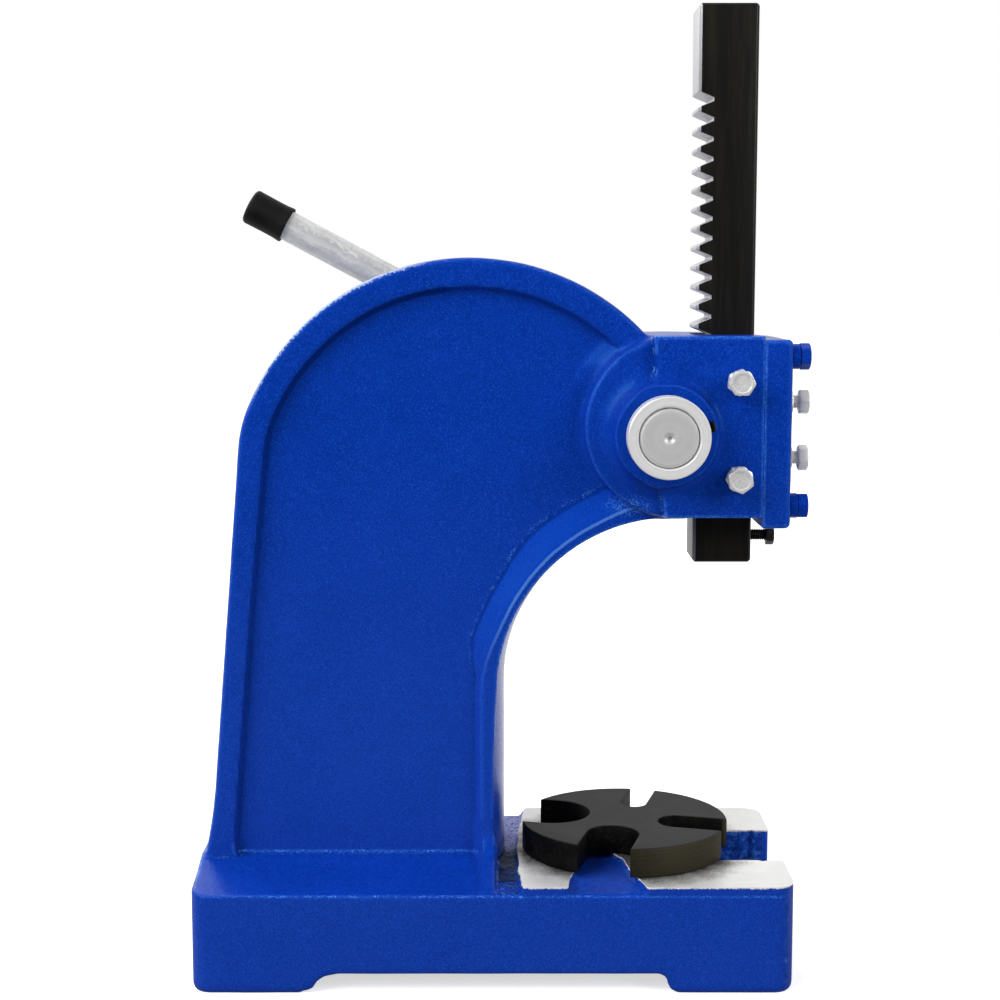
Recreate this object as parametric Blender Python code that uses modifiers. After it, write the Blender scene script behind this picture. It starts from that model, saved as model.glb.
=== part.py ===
# One-ton arbor press: cast C frame, square toothed ram, pinion shaft with sliding lever,
# slotted anvil plate and the screws that hold and adjust them.
# Metres, Z up. Inside the script X runs forward from the ram's axis, Y from the
# casting's mid plane (the lever is on +Y) and Z up from the bench. An empty moves the whole
# press so that the origin is the bottom centre of its bounding box.

import math

import bmesh
import bpy
import numpy as np
from mathutils import Matrix, Vector

# Clearances and helpers
seat_gap = 0.0003
slide_gap = 0.0003
cut_overrun = 0.004
merge_distance = 0.000001

# Ram and rack
ram_side = 0.0254
ram_length = 0.2372
ram_bottom_z = 0.1773
ram_edge_chamfer = 0.0011
rack_pitch = 0.008285
rack_depth = 0.00645
rack_addendum = 0.00303
rack_flank_angle = math.radians(22.5)
rack_notch_count = 20
rack_top_notch_z = 0.3748

# Stop screw in the ram's front face
stop_screw_z = 0.1878
stop_screw_shank_radius = 0.0025
stop_screw_shank_length = 0.0195
stop_screw_exposed_length = 0.0080
stop_screw_flats = 0.0080
stop_screw_head_height = 0.0035

# Pinion shaft
pinion_tooth_count = 13
pinion_z = 0.2347
pinion_tip_clearance = 0.0010
pinion_root_clearance = 0.0006
pinion_backlash = 0.0005
pinion_near_y = -0.0131
pinion_far_y = 0.0141
journal_start_y = 0.0133
shaft_near_radius = 0.0123
shaft_far_radius = 0.0197
shaft_end_chamfer = 0.0009
centre_drill_radius = 0.0021
centre_drill_depth = 0.0016
hub_radius = 0.0225
hub_length = 0.0420
hub_edge_chamfer = 0.0016
lever_plane_y = 0.0660

# Collar on the near end of the shaft
collar_radius = 0.0172
collar_length = 0.0107
collar_edge_chamfer = 0.0009
collar_screw_radius = 0.0025
collar_screw_proud = 0.0024
collar_screw_angle = math.radians(14.0)

# Lever
lever_angle = math.radians(28.0)
lever_radius = 0.0070
lever_long_reach = 0.2085
lever_short_reach = 0.0640
lever_end_chamfer = 0.0008
cap_radius = 0.0083
cap_length = 0.0200
cap_end_wall = 0.0026
cap_edge_rounding = 0.0016

# Frame: base
base_back_x = -0.2270
base_front_x = 0.0280
base_half_width = 0.0570
base_corner_radius = 0.0085
base_crown_drop = 0.0004
base_crown_half_width = 0.0285
base_edge_drop = 0.0048
base_edge_rounding = 0.0026
foot_edge_rounding = 0.0030
table_height = 0.0465
table_back_x = -0.0872
table_side_set_in = 0.0003
base_slot_half_width = 0.0215
base_slot_end_x = -0.0220
foot_arch_height = 0.0082
foot_rear_front_x = -0.1786
foot_front_back_x = -0.0234
foot_ramp_length = 0.0140
foot_front_ramp_length = 0.0055
base_hollow_wall = 0.0135
base_hollow_top_z = 0.0300
base_hollow_front_x = -0.0640
base_hollow_corner_radius = 0.0080
base_hollow_draft = 0.0020
valley_depth = 0.0018
valley_edge_back_x = -0.0675
valley_edge_front_x = -0.0342
valley_waist_back_x = -0.0580
valley_waist_front_x = -0.0500

# Frame: column and arch
column_half_thickness = 0.0260
web_half_thickness = 0.0215
arch_centre_x = -0.1091
arch_centre_z = 0.2063
arch_radius = 0.1022
arch_shoulder_radius = 0.0600
arch_end_angle = math.radians(41.5)
back_line_x = -0.2199
back_line_z = 0.0840
back_line_lean = math.radians(4.81)
back_foot_x = -0.2256
back_foot_z = 0.0480
throat_crest_arc = (-0.0216, 0.1240, 0.0728)
throat_edge_arc = (-0.0216, 0.1224, 0.0761)
throat_rim_arc = (-0.0262, 0.1199, 0.0779)
throat_end_angle = math.radians(86.0)
throat_foot_lean = 0.0010
throat_edge_depth = 0.0060
rim_width = 0.0125
recess_throat_arc = (-0.0200, 0.1190, 0.0895)
recess_throat_angle = math.radians(151.0)
recess_bottom_z = 0.0515
recess_corner_radius = 0.0110
recess_draft = 0.0016
column_edge_rounding = 0.0014
foot_fillet = 0.0032

# Frame: head
head_half_width = 0.0340
head_top_z = 0.2760
head_bottom_z = 0.1993
head_front_x = 0.0144
head_back_top_x = -0.0320
head_back_bottom_x = -0.0270
head_edge_rounding = 0.0012
pad_half_width = 0.0300
pad_centre_x = -0.0224
pad_radius = 0.0381
pad_edge_rounding = 0.0026
near_boss_y = -0.0410
near_boss_radius = 0.0212
far_boss_y = 0.0430
far_boss_radius = 0.0265
boss_fillet = 0.0026
boss_edge_rounding = 0.0010

# Cover plate and gibs
cover_thickness = 0.0116
cover_half_width = 0.0340
cover_bottom_z = 0.19475
cover_top_z = 0.2744
cover_edge_rounding = 0.0022
side_gib_thickness = 0.0030
side_gib_width = 0.0185
front_gib_half_width = 0.0118
gib_end_set_in = 0.0020
gib_dimple_depth = 0.0012

# Screws
screw_shank_radius = 0.0030
screw_flats = 0.0100
screw_head_height = 0.0042
screw_hole_gap = 0.0003
nut_height = 0.0048
washer_radius = 0.0060
washer_thickness = 0.0033
cover_bolt_y = 0.0250
cover_bolt_upper_z = 0.2671
cover_bolt_lower_z = 0.2038
cover_bolt_depth = 0.0160
front_screw_upper_z = 0.2463
front_screw_lower_z = 0.2219
front_screw_neck = 0.0028
side_screw_x = 0.0038
side_screw_upper_z = 0.2567
side_screw_lower_z = 0.2164
side_screw_neck = 0.0004
hex_chamfer = 0.0006

# Anvil plate
anvil_radius = 0.0460
anvil_thickness = 0.0127
anvil_centre_x = -0.0406
anvil_turn = math.radians(-15.0)
anvil_slot_widths = (0.0170, 0.0115, 0.0345, 0.0230)
anvil_slot_reaches = (0.0157, 0.0170, 0.0160, 0.0136)
anvil_edge_chamfer = 0.0007
pivot_radius = 0.0060
pivot_length = 0.0270
pivot_engagement = 0.0080
pivot_end_chamfer = 0.0008

# Curve fineness
arch_steps = 26
throat_steps = 22
shoulder_steps = 4
corner_steps = 4
round_steps = 40
small_round_steps = 16
pinion_tooth_steps = 12

# Derived sizes
base_crown_z = table_height - base_crown_drop
base_edge_z = table_height - base_edge_drop
arch_top_z = arch_centre_z + arch_radius
channel_top_z = max(arch_top_z, head_top_z)
ram_half = ram_side / 2
ram_top_z = ram_bottom_z + ram_length
rack_root_depth = rack_depth - rack_addendum
pinion_pitch_radius = pinion_tooth_count * rack_pitch / (2 * math.pi)
pinion_x = -ram_half + rack_addendum - pinion_pitch_radius
pinion_tip_radius = pinion_pitch_radius + rack_root_depth - pinion_tip_clearance
pinion_root_radius = pinion_pitch_radius - rack_addendum - pinion_root_clearance
shaft_near_end_y = near_boss_y - seat_gap - collar_length
hub_start_y = far_boss_y + seat_gap
hub_end_y = hub_start_y + hub_length
channel_near_y = -(ram_half + slide_gap + side_gib_thickness + seat_gap)
channel_far_y = ram_half + slide_gap
cover_back_x = head_front_x + seat_gap
cover_front_x = cover_back_x + cover_thickness
front_gib_thickness = cover_back_x - ram_half - slide_gap - seat_gap
screw_hole_radius = screw_shank_radius + screw_hole_gap
anvil_bottom_z = table_height + seat_gap
bolt_head_x = cover_front_x + seat_gap + washer_thickness + seat_gap
front_head_x = cover_front_x + seat_gap + nut_height + front_screw_neck
side_head_y = -(head_half_width + seat_gap + nut_height + side_screw_neck)
press_front_x = front_head_x + screw_head_height
origin_x = (base_back_x + press_front_x) / 2
origin_y = (hub_end_y - base_half_width) / 2

along_x = Vector((1, 0, 0))
along_y = Vector((0, 1, 0))
along_z = Vector((0, 0, 1))


def clear_scene():
    """Remove every object, mesh, curve and collection that is already there."""
    for old in list(bpy.data.objects):
        bpy.data.objects.remove(old, do_unlink=True)
    for old in list(bpy.data.collections):
        bpy.data.collections.remove(old)


clear_scene()
parts = bpy.data.collections.new("arbor_press")
cutters = bpy.data.collections.new("arbor_press_cutters")
bpy.context.scene.collection.children.link(parts)
bpy.context.scene.collection.children.link(cutters)

press_frame = bpy.data.objects.new("press_frame", None)
press_frame.location = (-origin_x, -origin_y, 0)
parts.objects.link(press_frame)


def make_material(name, colour, roughness, metallic):
    """Principled material with one colour, roughness and metallic value."""
    material = bpy.data.materials.new(name)
    material.use_nodes = True
    shader = material.node_tree.nodes["Principled BSDF"]
    shader.inputs["Base Color"].default_value = (*colour, 1)
    shader.inputs["Roughness"].default_value = roughness
    shader.inputs["Metallic"].default_value = metallic
    return material


blue_paint = make_material("blue_paint", (0.006, 0.040, 0.330), 0.32, 0.0)
black_steel = make_material("black_steel", (0.016, 0.016, 0.014), 0.42, 0.6)
bright_steel = make_material("bright_steel", (0.60, 0.60, 0.59), 0.34, 1.0)
zinc_steel = make_material("zinc_steel", (0.66, 0.66, 0.65), 0.30, 1.0)
black_rubber = make_material("black_rubber", (0.012, 0.012, 0.012), 0.70, 0.0)
brass = make_material("brass", (0.62, 0.43, 0.17), 0.38, 1.0)


def add_object(name, mesh, material, place=(0, 0, 0), rotation=(0, 0, 0), helper=False):
    """Put a mesh in the scene under the press frame, as a part or as a hidden helper."""
    item = bpy.data.objects.new(name, mesh)
    item.parent = press_frame
    item.location = place
    item.rotation_euler = rotation
    if material is not None:
        mesh.materials.clear()
        mesh.materials.append(material)
    if helper:
        item.hide_render = True
        item.display_type = "WIRE"
        cutters.objects.link(item)
    else:
        parts.objects.link(item)
    return item


def smooth(item, angle=math.radians(35)):
    """Shade the round faces smooth and keep edges sharper than the angle."""
    item.data.shade_smooth()
    item.data.set_sharp_from_angle(angle=angle)
    return item


def turn_to(direction):
    """Euler angles that turn +Z to the given direction."""
    return along_z.rotation_difference(Vector(direction)).to_euler()


def make_box(name, low, high, material=None, helper=False):
    """Box between two corners, from a unit cube."""
    size = [b - a for a, b in zip(low, high)]
    centre = [(a + b) / 2 for a, b in zip(low, high)]
    bm = bmesh.new()
    bmesh.ops.create_cube(bm, size=1, matrix=Matrix.Diagonal((*size, 1)))
    mesh = bpy.data.meshes.new(name)
    bm.to_mesh(mesh)
    bm.free()
    return add_object(name, mesh, material, centre, helper=helper)


def make_cylinder(name, radius, start, end, material=None, steps=round_steps, helper=False):
    """Cylinder between two points, its facets half a step off those of turned pieces."""
    start = Vector(start)
    end = Vector(end)
    span = end - start
    bm = bmesh.new()
    bmesh.ops.create_cone(bm, cap_ends=True, segments=steps, radius1=radius, radius2=radius,
                          depth=span.length, matrix=Matrix.Rotation(math.pi / steps, 4, "Z"))
    mesh = bpy.data.meshes.new(name)
    bm.to_mesh(mesh)
    bm.free()
    return add_object(name, mesh, material, (start + end) / 2, turn_to(span), helper)


def make_turned(name, profile, place, direction, material=None, steps=round_steps, helper=False):
    """Turned solid: (radius, height) points from top to bottom, spun about the direction."""
    mesh = bpy.data.meshes.new(name)
    ring = profile[0] == profile[-1]
    points = [(radius, 0, height) for radius, height in (profile[:-1] if ring else profile)]
    edges = [(i, i + 1) for i in range(len(points) - 1)]
    if ring:
        edges.append((len(points) - 1, 0))
    mesh.from_pydata(points, edges, [])
    item = add_object(name, mesh, material, place, turn_to(direction), helper)
    screw = item.modifiers.new("turn", "SCREW")
    screw.steps = steps
    screw.render_steps = steps
    screw.use_merge_vertices = True
    screw.merge_threshold = merge_distance
    screw.use_smooth_shade = True
    return item


def make_outline(name, points, half_thickness, place, rotation, material=None, rounding=0,
                 rounding_steps=1, helper=False):
    """Flat outline as a filled 2D curve with thickness and rounded edges, made a mesh."""
    curve = bpy.data.curves.new(name, "CURVE")
    curve.dimensions = "2D"
    curve.fill_mode = "BOTH"
    curve.extrude = half_thickness - rounding
    curve.bevel_depth = rounding
    curve.bevel_resolution = rounding_steps
    curve.offset = -rounding
    spline = curve.splines.new("POLY")
    spline.points.add(len(points) - 1)
    for knot, (x, y) in zip(spline.points, points):
        knot.co = (x, y, 0, 1)
    spline.use_cyclic_u = True
    guide = bpy.data.objects.new(name + "_outline", curve)
    cutters.objects.link(guide)
    bpy.context.view_layer.update()
    evaluated = guide.evaluated_get(bpy.context.evaluated_depsgraph_get())
    mesh = bpy.data.meshes.new_from_object(evaluated)
    bpy.data.objects.remove(guide, do_unlink=True)
    bm = bmesh.new()
    bm.from_mesh(mesh)
    bmesh.ops.remove_doubles(bm, verts=bm.verts, dist=merge_distance)
    bmesh.ops.recalc_face_normals(bm, faces=bm.faces)
    bm.to_mesh(mesh)
    bm.free()
    mesh.name = name
    return add_object(name, mesh, material, place, rotation, helper)


upright = (math.radians(90), 0, 0)


def make_loft(name, sections, material=None, helper=False):
    """Closed solid through a row of outlines with the same number of points."""
    bm = bmesh.new()
    rings = [[bm.verts.new(point) for point in section] for section in sections]
    for ring, following in zip(rings, rings[1:]):
        for i in range(len(ring)):
            j = (i + 1) % len(ring)
            bm.faces.new((ring[i], ring[j], following[j], following[i]))
    bm.faces.new(rings[0])
    bm.faces.new(reversed(rings[-1]))
    bmesh.ops.triangulate(bm, faces=bm.faces, quad_method="FIXED", ngon_method="EAR_CLIP")
    bmesh.ops.recalc_face_normals(bm, faces=bm.faces)
    mesh = bpy.data.meshes.new(name)
    bm.to_mesh(mesh)
    bm.free()
    return add_object(name, mesh, material, helper=helper)


def boolean(target, tool, operation, solver="EXACT"):
    """Boolean of a part with a hidden helper."""
    step = target.modifiers.new(tool.name, "BOOLEAN")
    step.operation = operation
    step.solver = solver
    step.object = tool


def cut(target, *tools, solver="EXACT"):
    for tool in tools:
        boolean(target, tool, "DIFFERENCE", solver)


def join(target, *tools, solver="EXACT"):
    for tool in tools:
        boolean(target, tool, "UNION", solver)


def round_edges(item, width, steps=2):
    """Bevel modifier on edges sharper than 30 degrees."""
    bevel = item.modifiers.new("edge_rounding", "BEVEL")
    bevel.width = width
    bevel.segments = steps
    bevel.limit_method = "ANGLE"
    bevel.angle_limit = math.radians(30)
    return item


def arc(centre, radius, start, end, steps):
    """Points on an arc, both ends included."""
    angles = np.linspace(start, end, steps + 1)
    return [(centre[0] + radius * math.cos(a), centre[1] + radius * math.sin(a)) for a in angles]


def rounded_rectangle(low, high, radius):
    """Counter-clockwise rectangle with quarter-round corners."""
    quarter = math.pi / 2
    corners = [(high[0] - radius, high[1] - radius), (low[0] + radius, high[1] - radius),
               (low[0] + radius, low[1] + radius), (high[0] - radius, low[1] + radius)]
    points = []
    for index, corner in enumerate(corners):
        points += arc(corner, radius, index * quarter, (index + 1) * quarter, corner_steps)
    return points


def back_line_point(z, inset):
    """X of the column's straight back edge at height z, moved in by the inset."""
    return back_line_x + (z - back_line_z) * math.tan(back_line_lean) + inset / math.cos(back_line_lean)


def shoulder_centre():
    """Centre of the arc that is tangent to the back edge and to the arch."""
    direction = Vector((math.sin(back_line_lean), math.cos(back_line_lean)))
    inward = Vector((math.cos(back_line_lean), -math.sin(back_line_lean)))
    arch_centre = Vector((arch_centre_x, arch_centre_z))
    distance = (arch_centre - Vector((back_line_x, back_line_z))).dot(inward)
    across = distance - arch_shoulder_radius
    along = math.sqrt((arch_radius - arch_shoulder_radius) ** 2 - across ** 2)
    return arch_centre - inward * across + direction * along


def arch_points(inset, end_angle):
    """Shoulder arc and arch arc, moved in by the inset, from the back edge to the head."""
    centre = shoulder_centre()
    tangent = math.pi - back_line_lean
    joint = math.atan2(centre.y - arch_centre_z, centre.x - arch_centre_x)
    shoulder = arc(centre, arch_shoulder_radius - inset, tangent, joint, shoulder_steps)
    arch = arc((arch_centre_x, arch_centre_z), arch_radius - inset, joint, end_angle, arch_steps)
    return shoulder[:-1] + arch


def back_foot_points(inset):
    """Flare of the back edge into the base: a parabola that leaves the straight edge smoothly."""
    run = base_back_x - back_line_point(back_foot_z, 0) - (base_back_x - back_foot_x)
    points = []
    for share in (1.0, 0.8, 0.6, 0.4, 0.2):
        z = back_line_z - share * (back_line_z - back_foot_z)
        points.append((back_line_point(z, inset) + run * share ** 2, z))
    return points


def throat_points(throat):
    """Throat arc from the head down to its straight part; throat is (x, z, radius)."""
    return arc(throat[:2], throat[2], throat_end_angle, math.pi, throat_steps)


def column_outline(outer_inset, throat):
    """Column and arch outline in X and Z, clockwise from the foot of the back edge."""
    root_z = base_crown_z - foot_fillet - cut_overrun
    foot = back_foot_points(outer_inset)
    arch = arch_points(outer_inset, arch_end_angle)
    inner = throat_points(throat)
    return ([(foot[0][0], root_z)] + foot + arch + [(inner[0][0], arch[-1][1])] + inner
            + [(inner[-1][0] - throat_foot_lean, root_z)])


def pad_centre_z():
    return (head_top_z + head_bottom_z) / 2


def at_depth(points, y):
    return [(x, y, z) for x, z in points]


def make_column():
    """Column lofted through sections: crowned towards the throat, nearly square at the back."""
    share = column_edge_rounding / throat_edge_depth
    shoulder_arc = [rim + (edge - rim) * share
                    for rim, edge in zip(throat_rim_arc, throat_edge_arc)]
    half = [(column_half_thickness, column_edge_rounding, throat_rim_arc),
            (column_half_thickness - column_edge_rounding, 0, shoulder_arc),
            (column_half_thickness - throat_edge_depth, 0, throat_edge_arc),
            (0, 0, throat_crest_arc)]
    rows = [(-y, outer, throat) for y, outer, throat in half]
    rows += [(y, outer, throat) for y, outer, throat in reversed(half[:-1])]
    sections = [at_depth(column_outline(outer, throat), y) for y, outer, throat in rows]
    return smooth(make_loft("frame_casting", sections, blue_paint))


def recess_outline(grow):
    """Outline of the shallow panel in each side of the column, grown by the wall draft."""
    inset = rim_width - grow
    bottom_z = recess_bottom_z - grow
    corner = recess_corner_radius
    left_x = back_line_point(bottom_z + corner, inset)
    lower_left = arc((left_x + corner, bottom_z + corner), corner, -math.pi / 2, -math.pi,
                     corner_steps)
    arch = arch_points(inset, arch_end_angle)
    throat = arc(recess_throat_arc[:2], recess_throat_arc[2] - grow, recess_throat_angle, math.pi,
                 throat_steps // 2)
    rise = pad_centre_z() - throat[0][1]
    lean = math.tan(math.pi - recess_throat_angle)
    inside_pad = (throat[0][0] + rise * lean, pad_centre_z())
    right_x = throat[-1][0]
    lower_right = arc((right_x - corner / 2, bottom_z + corner / 2), corner / 2, 0, -math.pi / 2,
                      corner_steps)
    return lower_left + arch + [inside_pad] + throat + lower_right


def make_recess(side):
    """Cutter of the panel on one side, -1 near or +1 far."""
    levels = ((web_half_thickness, 0), (column_half_thickness + cut_overrun, recess_draft))
    sections = [at_depth(recess_outline(grow), side * y) for y, grow in levels]
    return make_loft("recess_near" if side < 0 else "recess_far", sections, helper=True)


def make_foot_skirt():
    """Fillet where the column stands on the base, as a stepped skirt of rounded sections."""
    outline_back = back_foot_x
    outline_front = throat_edge_arc[0] - throat_edge_arc[2]
    sections = []
    for rise_share, out_share in ((-2.6, 1.0), (0.12, 1.0), (0.38, 0.45), (0.65, 0.15), (1.05, -0.1)):
        out = foot_fillet * out_share
        z = base_crown_z + foot_fillet * rise_share
        low = (max(outline_back - out, base_back_x + 1.5 * base_edge_rounding),
               -column_half_thickness - out)
        high = (outline_front + out, column_half_thickness + out)
        ring = rounded_rectangle(low, high, foot_fillet)
        sections.append([(x, y, z) for x, y in ring])
    return make_loft("foot_skirt", sections, helper=True)


def make_base_helpers():
    """Base block with a sloped cast top, and the flat machined table."""
    half_round = base_edge_rounding / 3
    foot_round = foot_edge_rounding / 3
    levels = [(0, foot_edge_rounding, base_half_width - foot_edge_rounding),
              (foot_round, foot_round, base_half_width - foot_round),
              (foot_edge_rounding, 0, base_half_width),
              (base_edge_z - base_edge_rounding, 0, base_half_width),
              (base_edge_z - half_round, half_round, base_half_width - half_round),
              (base_edge_z, base_edge_rounding, base_half_width - base_edge_rounding),
              (base_crown_z, 3 * base_edge_rounding, base_crown_half_width)]
    sections = []
    for z, inset, half_width in levels:
        ring = rounded_rectangle((base_back_x + inset, -half_width),
                                 (base_front_x - inset, half_width), base_corner_radius)
        sections.append([(x, y, z) for x, y in ring])
    block = make_loft("base_block", sections, helper=True)
    table_low_z = base_edge_z / 2
    table_half = (table_height - table_low_z) / 2
    side_y = base_half_width - table_side_set_in
    front_x = base_front_x - table_side_set_in
    corner = base_corner_radius
    points = [(table_back_x, -side_y)]
    points += arc((front_x - corner, corner - side_y), corner, -math.pi / 2, 0, corner_steps)
    points += arc((front_x - corner, side_y - corner), corner, 0, math.pi / 2, corner_steps)
    points.append((table_back_x, side_y))
    table = make_outline("table_block", points, table_half, (0, 0, table_low_z + table_half),
                         (0, 0, 0), helper=True)
    return block, table


def base_slot_outline():
    """Open-fronted slot between the prongs, with a round inner end."""
    radius = base_slot_half_width
    centre = (base_slot_end_x + radius, 0)
    front = base_front_x + cut_overrun
    return [(front, -radius), (front, radius)] + arc(centre, radius, math.pi / 2,
                                                     3 * math.pi / 2, throat_steps)


def foot_arch_outline():
    """Side view of the relief between the feet, with a ramp at each end."""
    ramp_shares = ((0.0, 0.0), (0.2, 0.17), (0.36, 0.6), (0.58, 0.86), (1.0, 1.0))
    rear = [(foot_rear_front_x + foot_ramp_length * along, foot_arch_height * up)
            for along, up in ramp_shares]
    front = [(foot_front_back_x - foot_front_ramp_length * along, foot_arch_height * up)
             for along, up in reversed(ramp_shares)]
    return [(foot_rear_front_x, -cut_overrun)] + rear + front + [(foot_front_back_x, -cut_overrun)]


def valley_outline():
    """Unmachined strip across the table, narrow at the middle and wide at both sides."""
    shares = ((1.06, 0.0), (0.78, 0.10), (0.66, 0.45), (0.36, 0.88), (0.0, 1.0))
    back = [(valley_edge_back_x + (valley_waist_back_x - valley_edge_back_x) * inward,
             base_half_width * out) for out, inward in shares]
    front = [(valley_edge_front_x + (valley_waist_front_x - valley_edge_front_x) * inward,
              base_half_width * out) for out, inward in shares]
    mirrored_back = [(x, -y) for x, y in reversed(back[:-1])]
    mirrored_front = [(x, -y) for x, y in front[:-1]]
    return back + mirrored_back + mirrored_front + list(reversed(front))


def make_base_cuts():
    """Cutters of the base."""
    tall = table_height + 2 * cut_overrun
    slot = make_outline("base_slot_cut", base_slot_outline(), tall / 2,
                        (0, 0, table_height / 2), (0, 0, 0), helper=True)
    arch = make_outline("foot_arch_cut", foot_arch_outline(), base_half_width + cut_overrun,
                        (0, 0, 0), upright, helper=True)
    sections = []
    for z, grow in ((base_hollow_top_z, 0), (-cut_overrun, base_hollow_draft)):
        low = (base_back_x + base_hollow_wall - grow, -base_half_width + base_hollow_wall - grow)
        high = (base_hollow_front_x + grow, base_half_width - base_hollow_wall + grow)
        ring = rounded_rectangle(low, high, base_hollow_corner_radius)
        sections.append([(x, y, z) for x, y in ring])
    hollow = make_loft("base_hollow_cut", sections, helper=True)
    valley_half = (valley_depth + cut_overrun) / 2
    valley = make_outline("valley_cut", valley_outline(), valley_half,
                          (0, 0, table_height - valley_depth + valley_half), (0, 0, 0), helper=True)
    pin_depth = pivot_length - pivot_engagement
    pin_hole = make_cylinder("pivot_hole_cut", pivot_radius + slide_gap,
                             (anvil_centre_x, 0, table_height - pin_depth),
                             (anvil_centre_x, 0, table_height + cut_overrun),
                             steps=small_round_steps, helper=True)
    return slot, arch, hollow, valley, pin_hole


def make_head_helpers():
    """Round-backed pad, square head block and the two shaft bosses."""
    centre = (pad_centre_x, pad_centre_z())
    pad_front_x = pad_centre_x + pad_radius / 2
    pad_points = arc(centre, pad_radius, math.pi / 2, 3 * math.pi / 2, arch_steps)
    pad_points += [(pad_front_x, centre[1] - pad_radius), (pad_front_x, centre[1] + pad_radius)]
    pad = make_outline("head_pad", pad_points, pad_half_width, (0, 0, 0), upright,
                       rounding=pad_edge_rounding, rounding_steps=1, helper=True)
    block_points = [(head_back_top_x, head_top_z), (head_back_bottom_x, head_bottom_z),
                    (head_front_x, head_bottom_z), (head_front_x, head_top_z)]
    block = make_outline("head_block", block_points, head_half_width, (0, 0, 0), upright,
                         rounding=head_edge_rounding, rounding_steps=1, helper=True)
    near = make_boss("near_boss", near_boss_radius, -near_boss_y, -along_y)
    far = make_boss("far_boss", far_boss_radius, far_boss_y, along_y)
    return pad, block, near, far


def make_boss(name, radius, reach, direction):
    """Turned boss with a rounded face edge and a fillet at its foot."""
    foot = head_half_width
    root = column_half_thickness - cut_overrun
    profile = [(0, reach), (radius - boss_edge_rounding, reach),
               (radius - boss_edge_rounding / 3, reach - boss_edge_rounding / 3),
               (radius, reach - boss_edge_rounding), (radius, foot + boss_fillet),
               (radius + boss_fillet / 3, foot + boss_fillet / 3),
               (radius + boss_fillet, foot - boss_fillet / 6), (radius + boss_fillet, root),
               (0, root)]
    return make_turned(name, profile, (pinion_x, 0, pinion_z), direction, helper=True)


def make_head_cuts():
    """Cutters of the ram channel, shaft bores and screw holes."""
    channel = make_box("ram_channel_cut",
                       (-ram_half - slide_gap, channel_near_y, head_bottom_z - 3 * cut_overrun),
                       (head_front_x + cut_overrun, channel_far_y, channel_top_z + cut_overrun),
                       helper=True)
    pocket_near_y = pinion_near_y - seat_gap
    far_bore = make_cylinder("far_bore_cut", shaft_far_radius + slide_gap,
                             (pinion_x, pocket_near_y, pinion_z),
                             (pinion_x, far_boss_y + cut_overrun, pinion_z), helper=True)
    near_bore = make_cylinder("near_bore_cut", shaft_near_radius + slide_gap,
                              (pinion_x, near_boss_y - cut_overrun, pinion_z),
                              (pinion_x, pocket_near_y + cut_overrun, pinion_z), helper=True)
    tools = [channel, far_bore, near_bore]
    for side in (-1, 1):
        for height in (cover_bolt_upper_z, cover_bolt_lower_z):
            tools.append(make_cylinder(
                "bolt_hole_cut", screw_hole_radius,
                (head_front_x - cover_bolt_depth - seat_gap, side * cover_bolt_y, height),
                (head_front_x + cut_overrun, side * cover_bolt_y, height),
                steps=small_round_steps, helper=True))
    for height in (side_screw_upper_z, side_screw_lower_z):
        tools.append(make_cylinder(
            "side_hole_cut", screw_hole_radius,
            (side_screw_x, -head_half_width - cut_overrun, height),
            (side_screw_x, channel_near_y + cut_overrun / 2, height),
            steps=small_round_steps, helper=True))
    return tools


def make_frame():
    """One casting: column, base, head and bosses, then its machined cuts."""
    frame = make_column()
    cut(frame, make_recess(-1), make_recess(1), solver="MANIFOLD")
    block, table = make_base_helpers()
    pad, head, near_boss, far_boss = make_head_helpers()
    join(frame, block, make_foot_skirt(), table, pad, head, near_boss, far_boss,
         solver="MANIFOLD")
    cut(frame, *make_base_cuts(), *make_head_cuts(), solver="MANIFOLD")
    return frame


def make_cover_plate():
    """Front plate that closes the ram channel, with four bolt holes and two screw holes."""
    plate = make_box("front_cover_plate", (cover_back_x, -cover_half_width, cover_bottom_z),
                     (cover_front_x, cover_half_width, cover_top_z), blue_paint)
    round_edges(plate, cover_edge_rounding)
    places = [(side * cover_bolt_y, z) for side in (-1, 1)
              for z in (cover_bolt_upper_z, cover_bolt_lower_z)]
    places += [(0, front_screw_upper_z), (0, front_screw_lower_z)]
    for y, z in places:
        cut(plate, make_cylinder("cover_hole_cut", screw_hole_radius,
                                 (cover_back_x - cut_overrun, y, z),
                                 (cover_front_x + cut_overrun, y, z),
                                 steps=small_round_steps, helper=True))
    return smooth(plate)


def hex_profile_cut(name, flats, height, place, direction):
    """Turned envelope that chamfers the corners of a hexagon on its outer face."""
    corner = flats / math.sqrt(3)
    inner = flats / 2 - hex_chamfer / 4
    profile = [(0, height), (inner, height), (corner + cut_overrun, height - (corner - inner) / 2
                                              - cut_overrun / 2),
               (corner + cut_overrun, -cut_overrun), (0, -cut_overrun)]
    return make_turned(name, profile, place, direction, steps=small_round_steps * 2, helper=True)


def make_hex_screw(name, place, direction, shank_radius, shank_length, flats, head_height,
                   material, turn=0):
    """Hexagon screw: the head's underside is at the place, the shank runs against the direction."""
    direction = Vector(direction)
    place = Vector(place)
    bm = bmesh.new()
    bmesh.ops.create_cone(bm, cap_ends=True, segments=6, radius1=flats / math.sqrt(3),
                          radius2=flats / math.sqrt(3), depth=head_height,
                          matrix=Matrix.Translation((0, 0, head_height / 2))
                          @ Matrix.Rotation(turn, 4, "Z"))
    mesh = bpy.data.meshes.new(name)
    bm.to_mesh(mesh)
    bm.free()
    head = add_object(name, mesh, material, place, turn_to(direction))
    boolean(head, hex_profile_cut(name + "_envelope", flats, head_height, place, direction),
            "INTERSECT")
    shank = make_cylinder(name + "_shank", shank_radius, place - direction * shank_length,
                          place + direction * head_height / 2, steps=small_round_steps,
                          helper=True)
    join(head, shank)
    return head


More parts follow.
